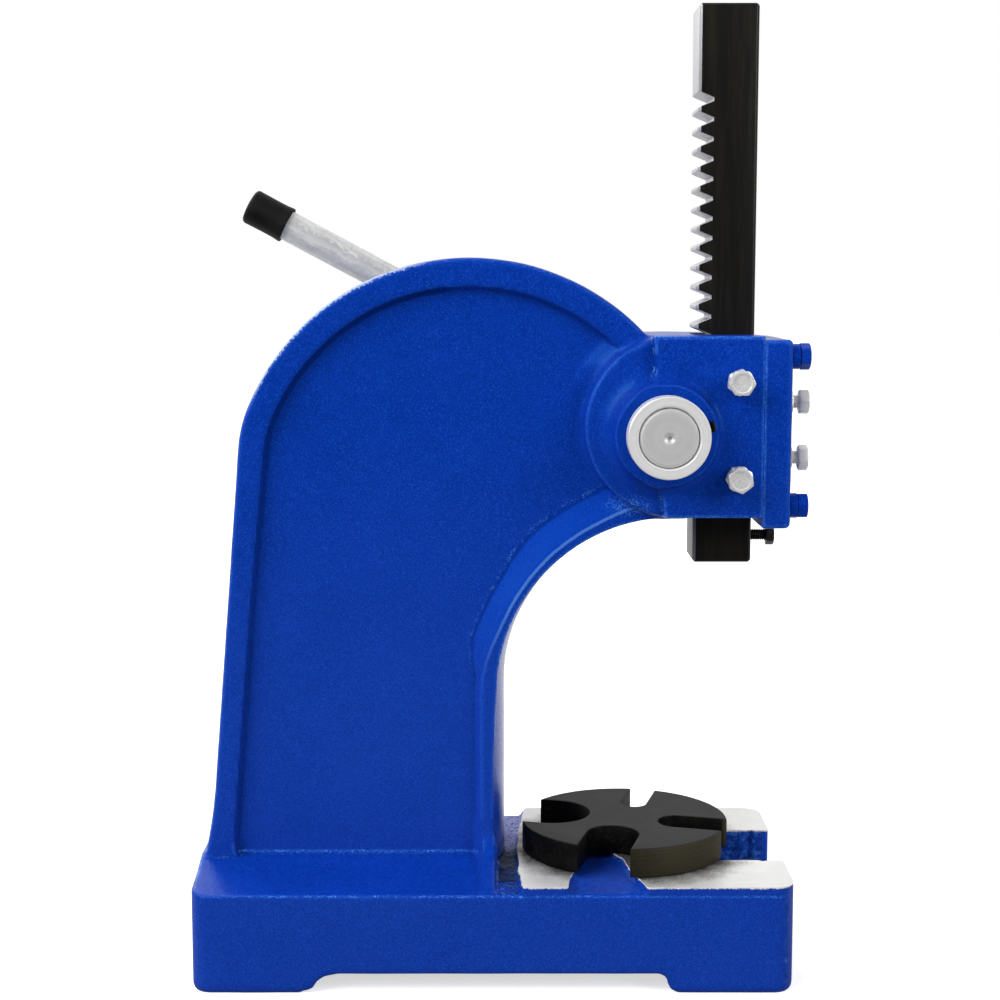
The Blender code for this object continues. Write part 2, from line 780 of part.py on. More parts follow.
def make_lock_nut(name, place, direction, turn):
    """Hexagon nut: its seat is at the place."""
    direction = Vector(direction)
    place = Vector(place)
    bm = bmesh.new()
    bmesh.ops.create_cone(bm, cap_ends=True, segments=6, radius1=screw_flats / math.sqrt(3),
                          radius2=screw_flats / math.sqrt(3), depth=nut_height,
                          matrix=Matrix.Translation((0, 0, nut_height / 2))
                          @ Matrix.Rotation(turn, 4, "Z"))
    mesh = bpy.data.meshes.new(name)
    bm.to_mesh(mesh)
    bm.free()
    nut = add_object(name, mesh, bright_steel, place, turn_to(direction))
    boolean(nut, hex_profile_cut(name + "_envelope", screw_flats, nut_height, place, direction),
            "INTERSECT")
    cut(nut, make_cylinder(name + "_bore", screw_hole_radius, place - direction * cut_overrun,
                           place + direction * (nut_height + cut_overrun),
                           steps=small_round_steps, helper=True))
    return nut


def make_washer(name, place):
    """Painted spring washer under a cover bolt."""
    inner = screw_hole_radius
    chamfer = washer_thickness / 6
    profile = [(inner, washer_thickness), (washer_radius - chamfer, washer_thickness),
               (washer_radius, washer_thickness - chamfer), (washer_radius, chamfer),
               (washer_radius - chamfer, 0), (inner, 0), (inner, washer_thickness)]
    return make_turned(name, profile, place, along_x, blue_paint, steps=small_round_steps * 2)


def make_cover_bolts():
    """Four painted bolts with washers at the corners of the cover plate."""
    corners = (("near_upper", -1, cover_bolt_upper_z, 8), ("near_lower", -1, cover_bolt_lower_z, 22),
               ("far_upper", 1, cover_bolt_upper_z, 40), ("far_lower", 1, cover_bolt_lower_z, 3))
    shank = bolt_head_x - head_front_x + cover_bolt_depth
    for label, side, z, turn in corners:
        y = side * cover_bolt_y
        make_washer("cover_washer_" + label, (cover_front_x + seat_gap, y, z))
        make_hex_screw("cover_bolt_" + label, (bolt_head_x, y, z), along_x, screw_shank_radius,
                       shank, screw_flats, screw_head_height, blue_paint, math.radians(turn))


def make_adjusting_screws():
    """Bright screws with lock nuts: two press on the front gib, two on the side gib."""
    front_length = front_head_x - cover_back_x
    for label, z, turn in (("upper", front_screw_upper_z, 30), ("lower", front_screw_lower_z, 12)):
        make_lock_nut("front_lock_nut_" + label, (cover_front_x + seat_gap, 0, z), along_x,
                      math.radians(turn + 24))
        make_hex_screw("front_adjusting_screw_" + label, (front_head_x, 0, z), along_x,
                       screw_shank_radius, front_length, screw_flats, screw_head_height,
                       bright_steel, math.radians(turn))
    side_tip_y = channel_near_y + seat_gap + gib_dimple_depth - seat_gap
    side_length = side_tip_y - side_head_y
    for label, z, turn in (("upper", side_screw_upper_z, 20), ("lower", side_screw_lower_z, 4)):
        make_lock_nut("side_lock_nut_" + label, (side_screw_x, -head_half_width - seat_gap, z),
                      -along_y, math.radians(turn + 25))
        make_hex_screw("side_adjusting_screw_" + label, (side_screw_x, side_head_y, z), -along_y,
                       screw_shank_radius, side_length, screw_flats, screw_head_height,
                       bright_steel, math.radians(turn))


def make_gibs():
    """Brass wear strips between the ram and the head: one at its side, one at its front."""
    low_z = head_bottom_z + gib_end_set_in
    high_z = cover_top_z - gib_end_set_in
    near_y = channel_near_y + seat_gap
    side = make_box("side_gib", (ram_half - side_gib_width, near_y, low_z),
                    (ram_half, near_y + side_gib_thickness, high_z), brass)
    for z in (side_screw_upper_z, side_screw_lower_z):
        cut(side, make_cylinder("gib_dimple_cut", screw_hole_radius,
                                (side_screw_x, near_y - cut_overrun, z),
                                (side_screw_x, near_y + gib_dimple_depth, z),
                                steps=small_round_steps, helper=True))
    front_x = cover_back_x - seat_gap
    make_box("front_gib", (front_x - front_gib_thickness, -front_gib_half_width, low_z),
             (front_x, front_gib_half_width, high_z), brass)


def rack_outline():
    """Notches of the rack in X and Z, closed well outside the ram."""
    slope = math.tan(rack_flank_angle)
    root_x = -ram_half + rack_depth
    outside_x = -ram_half - cut_overrun
    half_mouth = (rack_pitch - rack_tip_width()) / 2
    half_root = half_mouth - rack_depth * slope
    points = []
    for notch in range(rack_notch_count):
        z = rack_top_notch_z - notch * rack_pitch
        points += [(-ram_half, z + half_mouth), (root_x, z + half_root), (root_x, z - half_root),
                   (-ram_half, z - half_mouth)]
    flare = slope * cut_overrun
    top = (outside_x, points[0][1] + flare)
    bottom = (outside_x, points[-1][1] - flare)
    return [top] + points[1:-1] + [bottom]


def rack_tip_width():
    """Flat at the tip of a rack tooth, from the pitch line's equal tooth and space."""
    return rack_pitch / 2 - 2 * rack_addendum * math.tan(rack_flank_angle)


def make_ram():
    """Square bar with chamfered edges, rack notches on its back and the stop screw's hole."""
    ram = make_box("ram", (-ram_half, -ram_half, ram_bottom_z), (ram_half, ram_half, ram_top_z),
                   black_steel)
    round_edges(ram, ram_edge_chamfer, 1)
    teeth = make_outline("rack_cut", rack_outline(), ram_half + cut_overrun, (0, 0, 0), upright,
                         helper=True)
    hole_depth = stop_screw_shank_length - stop_screw_exposed_length + seat_gap
    hole = make_cylinder("stop_hole_cut", stop_screw_shank_radius + screw_hole_gap,
                         (ram_half - hole_depth, 0, stop_screw_z),
                         (ram_half + cut_overrun, 0, stop_screw_z),
                         steps=small_round_steps, helper=True)
    cut(ram, teeth, hole)
    make_hex_screw("ram_stop_screw", (ram_half + stop_screw_exposed_length, 0, stop_screw_z),
                   along_x, stop_screw_shank_radius, stop_screw_shank_length, stop_screw_flats,
                   stop_screw_head_height, black_steel, math.radians(30))
    return ram


def rack_surface(z):
    """Distance of the rack's surface from its pitch line at height z from a notch's middle."""
    slope = math.tan(rack_flank_angle)
    offset = np.abs((z + rack_pitch / 2) % rack_pitch - rack_pitch / 2)
    quarter = rack_pitch / 4
    return np.clip((quarter - offset) / slope, -rack_addendum, rack_root_depth)


def pinion_outline():
    """Pinion teeth as the shape left free by the rack while both roll past each other."""
    tooth_angle = 2 * math.pi / pinion_tooth_count
    rolls = np.linspace(-tooth_angle * 2, tooth_angle * 2, 241)
    radii = np.linspace(pinion_root_radius, pinion_tip_radius, 121)
    shares = (np.arange(pinion_tooth_steps) + 0.5) / pinion_tooth_steps - 0.5
    points = []
    profile = []
    for share in shares:
        turned = share * tooth_angle + rolls[:, None]
        x = radii[None, :] * np.cos(turned) - pinion_pitch_radius
        z = radii[None, :] * np.sin(turned) - pinion_pitch_radius * rolls[:, None]
        side = pinion_backlash / 2 * np.sign(share)
        free = (x <= rack_surface(z)) & (x <= rack_surface(z + side)) | (np.abs(turned) > math.pi / 2)
        allowed = np.logical_and.accumulate(free.all(axis=0))
        profile.append(radii[max(int(allowed.sum()) - 1, 0)])
    notch_z = rack_top_notch_z - round((rack_top_notch_z - pinion_z) / rack_pitch) * rack_pitch
    phase = (notch_z - pinion_z) / pinion_pitch_radius
    for tooth in range(pinion_tooth_count):
        for share, radius in zip(shares, profile):
            angle = phase + (tooth + share) * tooth_angle
            points.append((radius * math.cos(angle), radius * math.sin(angle)))
    return points


def make_pinion_shaft():
    """Pinion, its two journals and the lever hub, in one piece."""
    half_face = (pinion_far_y - pinion_near_y) / 2
    place = (pinion_x, 0, pinion_z)
    teeth = (pinion_x, (pinion_far_y + pinion_near_y) / 2, pinion_z)
    shaft = make_outline("pinion_shaft", pinion_outline(), half_face, teeth, upright, zinc_steel)
    near_length = -shaft_near_end_y
    near_profile = [(0, near_length - centre_drill_depth),
                    (centre_drill_radius, near_length),
                    (shaft_near_radius - shaft_end_chamfer, near_length),
                    (shaft_near_radius, near_length - shaft_end_chamfer),
                    (shaft_near_radius, half_face / 2), (0, half_face / 2)]
    near = make_turned("near_journal", near_profile, place, -along_y, helper=True)
    far_profile = [(0, hub_end_y - centre_drill_depth), (centre_drill_radius, hub_end_y),
                   (hub_radius - hub_edge_chamfer, hub_end_y),
                   (hub_radius, hub_end_y - hub_edge_chamfer),
                   (hub_radius, hub_start_y + hub_edge_chamfer),
                   (hub_radius - hub_edge_chamfer, hub_start_y), (shaft_far_radius, hub_start_y),
                   (shaft_far_radius, journal_start_y), (0, journal_start_y)]
    far = make_turned("far_journal", far_profile, place, along_y, helper=True)
    join(shaft, near, far)
    reach = hub_radius + cut_overrun
    outward = lever_direction() * reach
    centre = Vector((pinion_x, lever_plane_y, pinion_z))
    cross_hole = make_cylinder("lever_hole_cut", lever_radius + slide_gap, centre - outward,
                               centre + outward, steps=small_round_steps * 2, helper=True)
    cut(shaft, cross_hole)
    return shaft


def lever_direction():
    """Unit vector from the hub towards the lever's long end."""
    return Vector((-math.cos(lever_angle), 0, math.sin(lever_angle)))


def make_collar():
    """Retaining collar on the near end of the shaft, with its radial set screw."""
    inner = shaft_near_radius + slide_gap
    chamfer = collar_edge_chamfer
    profile = [(inner, collar_length - chamfer / 2), (inner + chamfer / 2, collar_length),
               (collar_radius - chamfer, collar_length),
               (collar_radius, collar_length - chamfer), (collar_radius, chamfer),
               (collar_radius - chamfer, 0), (inner, 0), (inner, collar_length - chamfer / 2)]
    seat_y = near_boss_y - seat_gap
    collar = make_turned("shaft_collar", profile, (pinion_x, seat_y, pinion_z), -along_y,
                         bright_steel)
    direction = Vector((math.cos(collar_screw_angle), 0, math.sin(collar_screw_angle)))
    middle = Vector((pinion_x, seat_y - collar_length / 2, pinion_z))
    start = middle + direction * (shaft_near_radius + seat_gap)
    end = middle + direction * (collar_radius + collar_screw_proud)
    cut(collar, make_cylinder("collar_hole_cut", collar_screw_radius + screw_hole_gap,
                              middle + direction * shaft_near_radius / 2,
                              end + direction * cut_overrun, steps=small_round_steps, helper=True))
    make_cylinder("collar_set_screw", collar_screw_radius, start, end, black_steel,
                  steps=small_round_steps)


def make_lever():
    """Round lever bar through the hub, with a rubber cap on each end."""
    direction = lever_direction()
    centre = Vector((pinion_x, lever_plane_y, pinion_z))
    length = lever_long_reach + lever_short_reach
    chamfer = lever_end_chamfer
    profile = [(0, length), (lever_radius - chamfer, length), (lever_radius, length - chamfer),
               (lever_radius, chamfer), (lever_radius - chamfer, 0), (0, 0)]
    make_turned("lever_bar", profile, centre - direction * lever_short_reach, direction,
                bright_steel, steps=small_round_steps * 2)
    make_cap("lever_cap_long", centre + direction * lever_long_reach, direction)
    make_cap("lever_cap_short", centre - direction * lever_short_reach, -direction)


def make_cap(name, bar_end, direction):
    """Rubber cap: a cup over the bar's end, which is at the given point."""
    inner = lever_radius + seat_gap
    top = cap_end_wall + seat_gap
    rounding = cap_edge_rounding
    depth = top - cap_length
    profile = [(0, top), (cap_radius - rounding, top), (cap_radius - rounding / 3, top - rounding / 3),
               (cap_radius, top - rounding), (cap_radius, depth + rounding / 2),
               (cap_radius - rounding / 4, depth), (inner, depth), (inner, seat_gap), (0, seat_gap)]
    return make_turned(name, profile, bar_end, direction, black_rubber,
                       steps=small_round_steps * 2)


def anvil_slot_outline(width, reach):
    """Slot that runs in from the rim along +X and ends in a half circle at the reach."""
    radius = width / 2
    centre = (reach + radius, 0)
    outer = anvil_radius + cut_overrun
    return [(outer, -radius), (outer, radius)] + arc(centre, radius, math.pi / 2, 3 * math.pi / 2,
                                                     small_round_steps // 2)


def make_anvil():
    """Round plate with four unlike slots that turns on a pin in the base."""
    place = (anvil_centre_x, 0, anvil_bottom_z)
    chamfer = anvil_edge_chamfer
    profile = [(0, anvil_thickness), (anvil_radius - chamfer, anvil_thickness),
               (anvil_radius, anvil_thickness - chamfer), (anvil_radius, chamfer),
               (anvil_radius - chamfer, 0), (0, 0)]
    plate = make_turned("anvil_plate", profile, place, along_z, black_steel, steps=round_steps * 2)
    for index, (width, reach) in enumerate(zip(anvil_slot_widths, anvil_slot_reaches)):
        turn = anvil_turn + index * math.pi / 2
        slot = make_outline("anvil_slot_cut", anvil_slot_outline(width, reach),
                            anvil_thickness / 2 + cut_overrun,
                            (anvil_centre_x, 0, anvil_bottom_z + anvil_thickness / 2),
                            (0, 0, turn), helper=True)
        cut(plate, slot)
    socket = make_cylinder("pivot_socket_cut", pivot_radius + slide_gap,
                           (anvil_centre_x, 0, anvil_bottom_z - cut_overrun),
                           (anvil_centre_x, 0, table_height + pivot_engagement + seat_gap),
                           steps=small_round_steps, helper=True)
    cut(plate, socket)
    bottom_z = table_height - pivot_length + pivot_engagement + seat_gap
    length = table_height + pivot_engagement - bottom_z
    pin_chamfer = pivot_end_chamfer
    pin = [(0, length), (pivot_radius - pin_chamfer, length), (pivot_radius, length - pin_chamfer),
           (pivot_radius, pin_chamfer), (pivot_radius - pin_chamfer, 0), (0, 0)]
    make_turned("anvil_pivot_pin", pin, (anvil_centre_x, 0, bottom_z), along_z, bright_steel,
                steps=small_round_steps)


make_frame()
make_cover_plate()
make_cover_bolts()
make_adjusting_screws()
make_gibs()
make_ram()
make_pinion_shaft()
make_collar()
make_lever()
make_anvil()
bpy.context.view_layer.update()
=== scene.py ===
# Looks of the arbor press. The cast frame is worked out as one field and its machined faces
# are cut afterwards; turned, threaded and hexagonal pieces are grids; the finishes are node
# materials on Object coordinates. Sizes are millimetres in the press's own frame: X forward
# from the ram's axis, Y away from the camera from the casting's mid plane, Z up.

import math

import bmesh
import bpy
import numpy as np
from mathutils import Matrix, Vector


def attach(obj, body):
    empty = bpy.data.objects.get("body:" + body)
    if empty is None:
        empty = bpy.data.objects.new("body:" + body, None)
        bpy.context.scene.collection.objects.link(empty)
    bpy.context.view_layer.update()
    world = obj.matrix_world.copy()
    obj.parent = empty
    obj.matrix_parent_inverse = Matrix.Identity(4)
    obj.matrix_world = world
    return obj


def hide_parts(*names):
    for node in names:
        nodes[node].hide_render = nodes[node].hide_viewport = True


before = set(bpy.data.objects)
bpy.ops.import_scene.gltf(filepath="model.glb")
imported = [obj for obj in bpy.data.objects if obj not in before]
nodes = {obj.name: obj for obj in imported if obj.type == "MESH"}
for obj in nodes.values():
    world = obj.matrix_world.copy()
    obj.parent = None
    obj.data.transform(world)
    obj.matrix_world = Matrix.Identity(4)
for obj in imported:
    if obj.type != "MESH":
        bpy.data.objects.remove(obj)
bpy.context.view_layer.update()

metresPerMm = 0.001
pressShift = np.array([94.3, -14.15, 0])        # press frame to the model's frame
alongX, alongY = np.eye(3)[:2]
archCentre = (-109.1, 206.3)
pinionAxis = (-26.8, 234.7)
collarCentre = (pinionAxis[0], 0, pinionAxis[1])
leverCentre = np.array([pinionAxis[0], 66, pinionAxis[1]])
leverLean = math.radians(28)
plateCentre = (-40.6, 0)
coverBoltPlaces = [(side * 25, height) for side in (-1, 1) for height in (267.1, 203.8)]
frontScrewHeights = (246.3, 221.9)
sideScrewHeights = (256.7, 216.4)


# One socket with arithmetic: an expression on values adds its Math nodes
class Value:
    def __init__(self, owner, socket):
        self.owner = owner
        self.socket = socket

    def math(self, operation, *values):
        return self.owner.add("ShaderNodeMath", {"operation": operation}, dict(enumerate(values)))

    def root(self):
        return self.math("SQRT", self)

    def size(self):
        return self.math("ABSOLUTE", self)

    def clamp(self):
        return self.owner.add("ShaderNodeClamp", {}, {"Value": self})

    # 0 below low, 1 above high, straight between; low may be the greater one
    def between(self, low, high):
        return self.owner.add("ShaderNodeMapRange", {"clamp": True},
                              {"Value": self, "From Min": low, "From Max": high})


for sign, operation in (("add", "ADD"), ("sub", "SUBTRACT"), ("mul", "MULTIPLY"),
                        ("truediv", "DIVIDE")):
    setattr(Value, f"__{sign}__", lambda a, b, kind=operation: a.math(kind, a, b))
    setattr(Value, f"__r{sign}__", lambda a, b, kind=operation: a.math(kind, b, a))


def setSocket(socket, value):
    socket.default_value = (*value, 1) if socket.type == "RGBA" else value


# A node tree and the one method that adds nodes: settings of the node, values of its inputs, and
# the output it gives back, which is a name, a tuple of names or the first one in use
class NodeTree:
    def __init__(self, tree):
        self.tree = tree

    def add(self, kind, settings={}, values={}, output=None):
        node = self.tree.nodes.new(kind)
        for name, value in settings.items():
            setattr(node, name, value)
        for name, value in values.items():
            if isinstance(value, Value):
                self.tree.links.new(value.socket, node.inputs[name])
            else:
                setSocket(node.inputs[name], value)
        if isinstance(output, tuple):
            return [Value(self, node.outputs[name]) for name in output]
        if output is not None:
            return Value(self, node.outputs[output])
        shown = [socket for socket in node.outputs if socket.enabled]
        return Value(self, shown[0]) if shown else node

    def parts(self, vector):
        return self.add("ShaderNodeSeparateXYZ", {}, {0: vector}, ("X", "Y", "Z"))


# A node material: its shader and its millimetre coordinates
class Finish(NodeTree):
    def __init__(self, name, **constants):
        self.material = bpy.data.materials.new(name)
        self.material.use_nodes = True
        super().__init__(self.material.node_tree)
        self.shader = self.tree.nodes["Principled BSDF"]
        for socket, value in constants.items():
            setSocket(self.shader.inputs[socket.replace("_", " ")], value)
        place = self.add("ShaderNodeTexCoord", output="Object")
        self.place = self.add("ShaderNodeVectorMath", {"operation": "SCALE"},
                              {"Vector": place, "Scale": 1 / metresPerMm})

    def feed(self, name, value):
        self.tree.links.new(value.socket, self.shader.inputs[name])

    # what varies over the surface; the heights are millimetres and make one bump
    def cover(self, colour, roughness, height):
        self.feed("Base Color", colour)
        self.feed("Roughness", roughness.clamp())
        self.feed("Normal", self.add("ShaderNodeBump", {}, {
            "Strength": 1, "Distance": metresPerMm, "Height": height}, "Normal"))
        return self

    # millimetre coordinates moved, turned and stretched: (place turned, less centre) times scale
    def moved(self, centre=(0, 0, 0), turn=(0, 0, 0), scale=(1, 1, 1)):
        return self.add("ShaderNodeMapping", {"vector_type": "TEXTURE"}, {
            "Vector": self.place, "Location": (np.array(centre) + pressShift).tolist(),
            "Rotation": turn, "Scale": [1 / s for s in scale]})

    def noise(self, size, place=None, detail=2, rough=0.5):
        return self.add("ShaderNodeTexNoise", {}, {
            "Vector": place or self.place, "Scale": 1 / size, "Detail": detail,
            "Roughness": rough}, "Fac")

    def attribute(self, name):
        return self.add("ShaderNodeAttribute", {"attribute_name": name}, {}, "Fac")

    # axis of the face's normal, for marks that lie only on faces that look one way
    def facing(self, axis):
        return self.parts(self.add("ShaderNodeNewGeometry", output="Normal"))[axis]

    # second colour over the first, as far as the factor goes; the sockets are the colour ones
    def mix(self, factor, first, second):
        return self.add("ShaderNodeMix", {"data_type": "RGBA", "clamp_factor": True},
                        {0: factor, 6: first, 7: second}, 2)


def unit(vector):
    vector = np.asarray(vector, float)
    return vector / np.linalg.norm(vector)


# Rows are two axes across the direction and the direction itself, right-handed
def axisRows(direction):
    w = unit(direction)
    u = unit(np.cross(alongY if abs(w[1]) < 0.9 else alongX, w))
    return np.array([u, np.cross(w, u), w])


# Points given as (across, across, along) of an axis through a centre
def along(points, centre, direction):
    return points @ axisRows(direction) + np.asarray(centre, float)


# Quads between the rows and columns of a grid of points; columns close round, rows where asked
def gridFaces(rows, columns, wrapRows=False):
    r = np.arange(rows if wrapRows else rows - 1)[:, None]
    c = np.arange(columns)[None, :]
    after = (c + 1) % columns
    row, nextRow = r * columns, (r + 1) % rows * columns
    return np.stack([row + c, row + after, nextRow + after, nextRow + c], axis=-1).reshape(-1, 4)


# A mesh from points in millimetres and faces with equal corner counts
def makeMesh(name, points, faces):
    points = (np.asarray(points, float).reshape(-1, 3) + pressShift) * metresPerMm
    faces = np.asarray(faces)
    mesh = bpy.data.meshes.new(name)
    mesh.vertices.add(len(points))
    mesh.vertices.foreach_set("co", points.astype(np.float32).ravel())
    mesh.loops.add(faces.size)
    mesh.loops.foreach_set("vertex_index", faces.astype(np.int32).ravel())
    mesh.polygons.add(len(faces))
    mesh.polygons.foreach_set("loop_start",
                              np.arange(0, faces.size, faces.shape[1], dtype=np.int32))
    mesh.update(calc_edges=True)
    return mesh


# Vertices of a mesh as columns x, y, z in millimetres of the press's frame
def meshPlaces(mesh):
    place = np.empty(len(mesh.vertices) * 3, np.float32)
    mesh.vertices.foreach_get("co", place)
    return (place.reshape(-1, 3) / metresPerMm - pressShift).T


def addMark(mesh, name, value):
    mark = mesh.attributes.new(name, "FLOAT", "POINT")
    mark.data.foreach_set("value", value.astype(np.float32))


def fillHoles(bm):
    bmesh.ops.holes_fill(bm, edges=[e for e in bm.edges if e.is_boundary], sides=0)


# Merges doubles, turns faces outwards and fills flat ends
def cleanMesh(mesh, fill=False):
    bm = bmesh.new()
    bm.from_mesh(mesh)
    bmesh.ops.remove_doubles(bm, verts=bm.verts, dist=0.0008 * metresPerMm)
    if fill:
        fillHoles(bm)
    bmesh.ops.recalc_face_normals(bm, faces=bm.faces)
    bm.to_mesh(mesh)
    bm.free()


def softEdges(mesh, angle):
    mesh.shade_smooth()
    mesh.set_sharp_from_angle(angle=math.radians(angle))


def addModifier(item, kind, **settings):
    step = item.modifiers.new(kind.lower(), kind)
    for name, value in settings.items():
        setattr(step, name, value)


# The mesh an object has after its modifiers becomes its own
def applyModifiers(item):
    bpy.context.view_layer.update()
    depsgraph = bpy.context.evaluated_depsgraph_get()
    mesh = bpy.data.meshes.new_from_object(item.evaluated_get(depsgraph))
    item.modifiers.clear()
    item.data = mesh


# Normals weighted by face area: flats shade flat and only the small faces of an edge turn
def flattenShading(item):
    addModifier(item, "WEIGHTED_NORMAL", mode="FACE_AREA_WITH_ANGLE", weight=50, keep_sharp=True)
    applyModifiers(item)


# Fewer triangles where the surface is flat
def thinOut(item, triangles):
    count = sum(len(p.vertices) - 2 for p in item.data.polygons)
    if count > triangles:
        addModifier(item, "DECIMATE", ratio=triangles / count)
        applyModifiers(item)


def addObject(name, data):
    item = bpy.data.objects.new(name, data)
    bpy.context.scene.collection.objects.link(item)
    return item


# Difference with hidden cutters, each a mesh; what they cut takes the cutter's material slot
def cutAway(item, *cutterMeshes):
    helpers = []
    for index, mesh in enumerate(cutterMeshes):
        for finish in item.data.materials:
            mesh.materials.append(finish)
        helpers.append(addObject(f"{item.name}Cutter{index}", mesh))
        addModifier(item, "BOOLEAN", operation="DIFFERENCE", solver="MANIFOLD",
                    object=helpers[-1])
    applyModifiers(item)
    for helper in helpers:
        bpy.data.objects.remove(helper, do_unlink=True)


# Box from low to high corner, as points and quads
def boxParts(low, high):
    x, y, z = [np.array(pair, float) for pair in zip(low, high)]
    points = np.array([[x[i], y[j], z[k]] for i in (0, 1) for j in (0, 1) for k in (0, 1)])
    return points, np.array([[0, 1, 3, 2], [4, 6, 7, 5], [0, 4, 5, 1], [2, 3, 7, 6],
                             [0, 2, 6, 4], [1, 5, 7, 3]])


# Several closed shapes that don't meet, as one cutter mesh of quads with one material slot
def cutterMesh(name, *shapes, slot=1):
    points, faces = zip(*shapes)
    starts = np.cumsum([0] + [len(part) for part in points])
    mesh = makeMesh(name, np.concatenate(points),
                    np.concatenate([part + start for part, start in zip(faces, starts)]))
    cleanMesh(mesh)
    mesh.polygons.foreach_set("material_index", np.full(len(mesh.polygons), slot, np.int32))
    return mesh


# Profile (radius, along) turned about an axis, as points and quads
def turnedParts(profile, centre, direction, steps, ring=False):
    profile = np.asarray(profile, float)
    angle = np.arange(steps) * 2 * math.pi / steps
    circle = np.stack([np.cos(angle), np.sin(angle)], axis=-1)
    points = np.concatenate([profile[:, None, :1] * circle[None], np.broadcast_to(
        profile[:, None, 1:], (len(profile), steps, 1))], axis=-1)
    return along(points.reshape(-1, 3), centre, direction), gridFaces(len(profile), steps, ring)


# Drill from start to end
def drillParts(radius, start, end, steps):
    way = np.asarray(end) - np.asarray(start, float)
    length = np.linalg.norm(way)
    return turnedParts([(0, 0), (radius, 0), (radius, length), (0, length)], start, way, steps)


# Where a finished mesh goes: its materials, its body, and the nodes it stands for, which it hides
def addPiece(name, mesh, finishes, body, replaced):
    for finish in finishes:
        mesh.materials.append(finish.material)
    item = addObject(name, mesh)
    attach(item, body)
    if replaced:
        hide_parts(*replaced)
    return item


# Turned piece, its poles closed or, as a ring, its profile closed
def addTurned(name, profile, centre, direction, finishes, body, replaced, steps=96,
              angle=30, ring=False):
    mesh = makeMesh(name, *turnedParts(profile, centre, direction, steps, ring))
    cleanMesh(mesh)
    softEdges(mesh, angle)
    return addPiece(name, mesh, finishes, body, replaced)


def arcPoints(centre, radius, start, end, count):
    angle = np.linspace(math.radians(start), math.radians(end), count)
    return list(zip(centre[0] + radius * np.cos(angle), centre[1] + radius * np.sin(angle)))


# Smooth union and intersection: the lesser or greater value, rounded where both are within k
def smoothMin(a, b, k):
    h = np.maximum(k - np.abs(a - b), 0) / k
    return np.minimum(a, b) - h * h * k * 0.25


def smoothMax(a, b, k):
    h = np.maximum(k - np.abs(a - b), 0) / k
    return np.maximum(a, b) + h * h * k * 0.25


# Signed distance to a closed outline, negative inside: nearest edge, and crossings for the sign
def outlineDistance(u, v, points):
    points = np.asarray(points, float)
    nearest = np.full(np.broadcast(u, v).shape, 1e9)
    inside = np.zeros(nearest.shape, bool)
    for (au, av), (bu, bv) in zip(points, np.roll(points, -1, axis=0)):
        du = bu - au
        dv = bv - av
        share = np.clip(((u - au) * du + (v - av) * dv) / (du * du + dv * dv), 0, 1)
        nearest = np.minimum(nearest, (u - au - share * du) ** 2 + (v - av - share * dv) ** 2)
        if dv:
            inside ^= ((av > v) != (bv > v)) & (u < du * (v - av) / dv + au)
    return np.where(inside, -1, 1) * np.sqrt(nearest)


# Signed distance to a rectangle with round corners
def roundedRectangle(u, v, low, high, radius):
    qu = np.abs(u - (low[0] + high[0]) / 2) - (high[0] - low[0]) / 2 + radius
    qv = np.abs(v - (low[1] + high[1]) / 2) - (high[1] - low[1]) / 2 + radius
    return (np.sqrt(np.maximum(qu, 0) ** 2 + np.maximum(qv, 0) ** 2)
            + np.minimum(np.maximum(qu, qv), 0) - radius)


# Slow unevenness of a cast surface: a few sine waves in seeded directions, each the imaginary
# part of a product of one complex wave along x and y and one along z
def castWaves(x, y, z, size, count, seed):
    rng = np.random.default_rng(seed)
    total = 0
    for _ in range(count):
        direction = unit(rng.normal(size=3)) * 2 * math.pi / (size * rng.uniform(0.6, 1.7))
        flat = np.exp(1j * (direction[0] * x + direction[1] * y + rng.uniform(0, 2 * math.pi)))
        tall = np.exp(1j * direction[2] * z)
        total = total + flat.real * tall.imag + flat.imag * tall.real
    return total / math.sqrt(count)


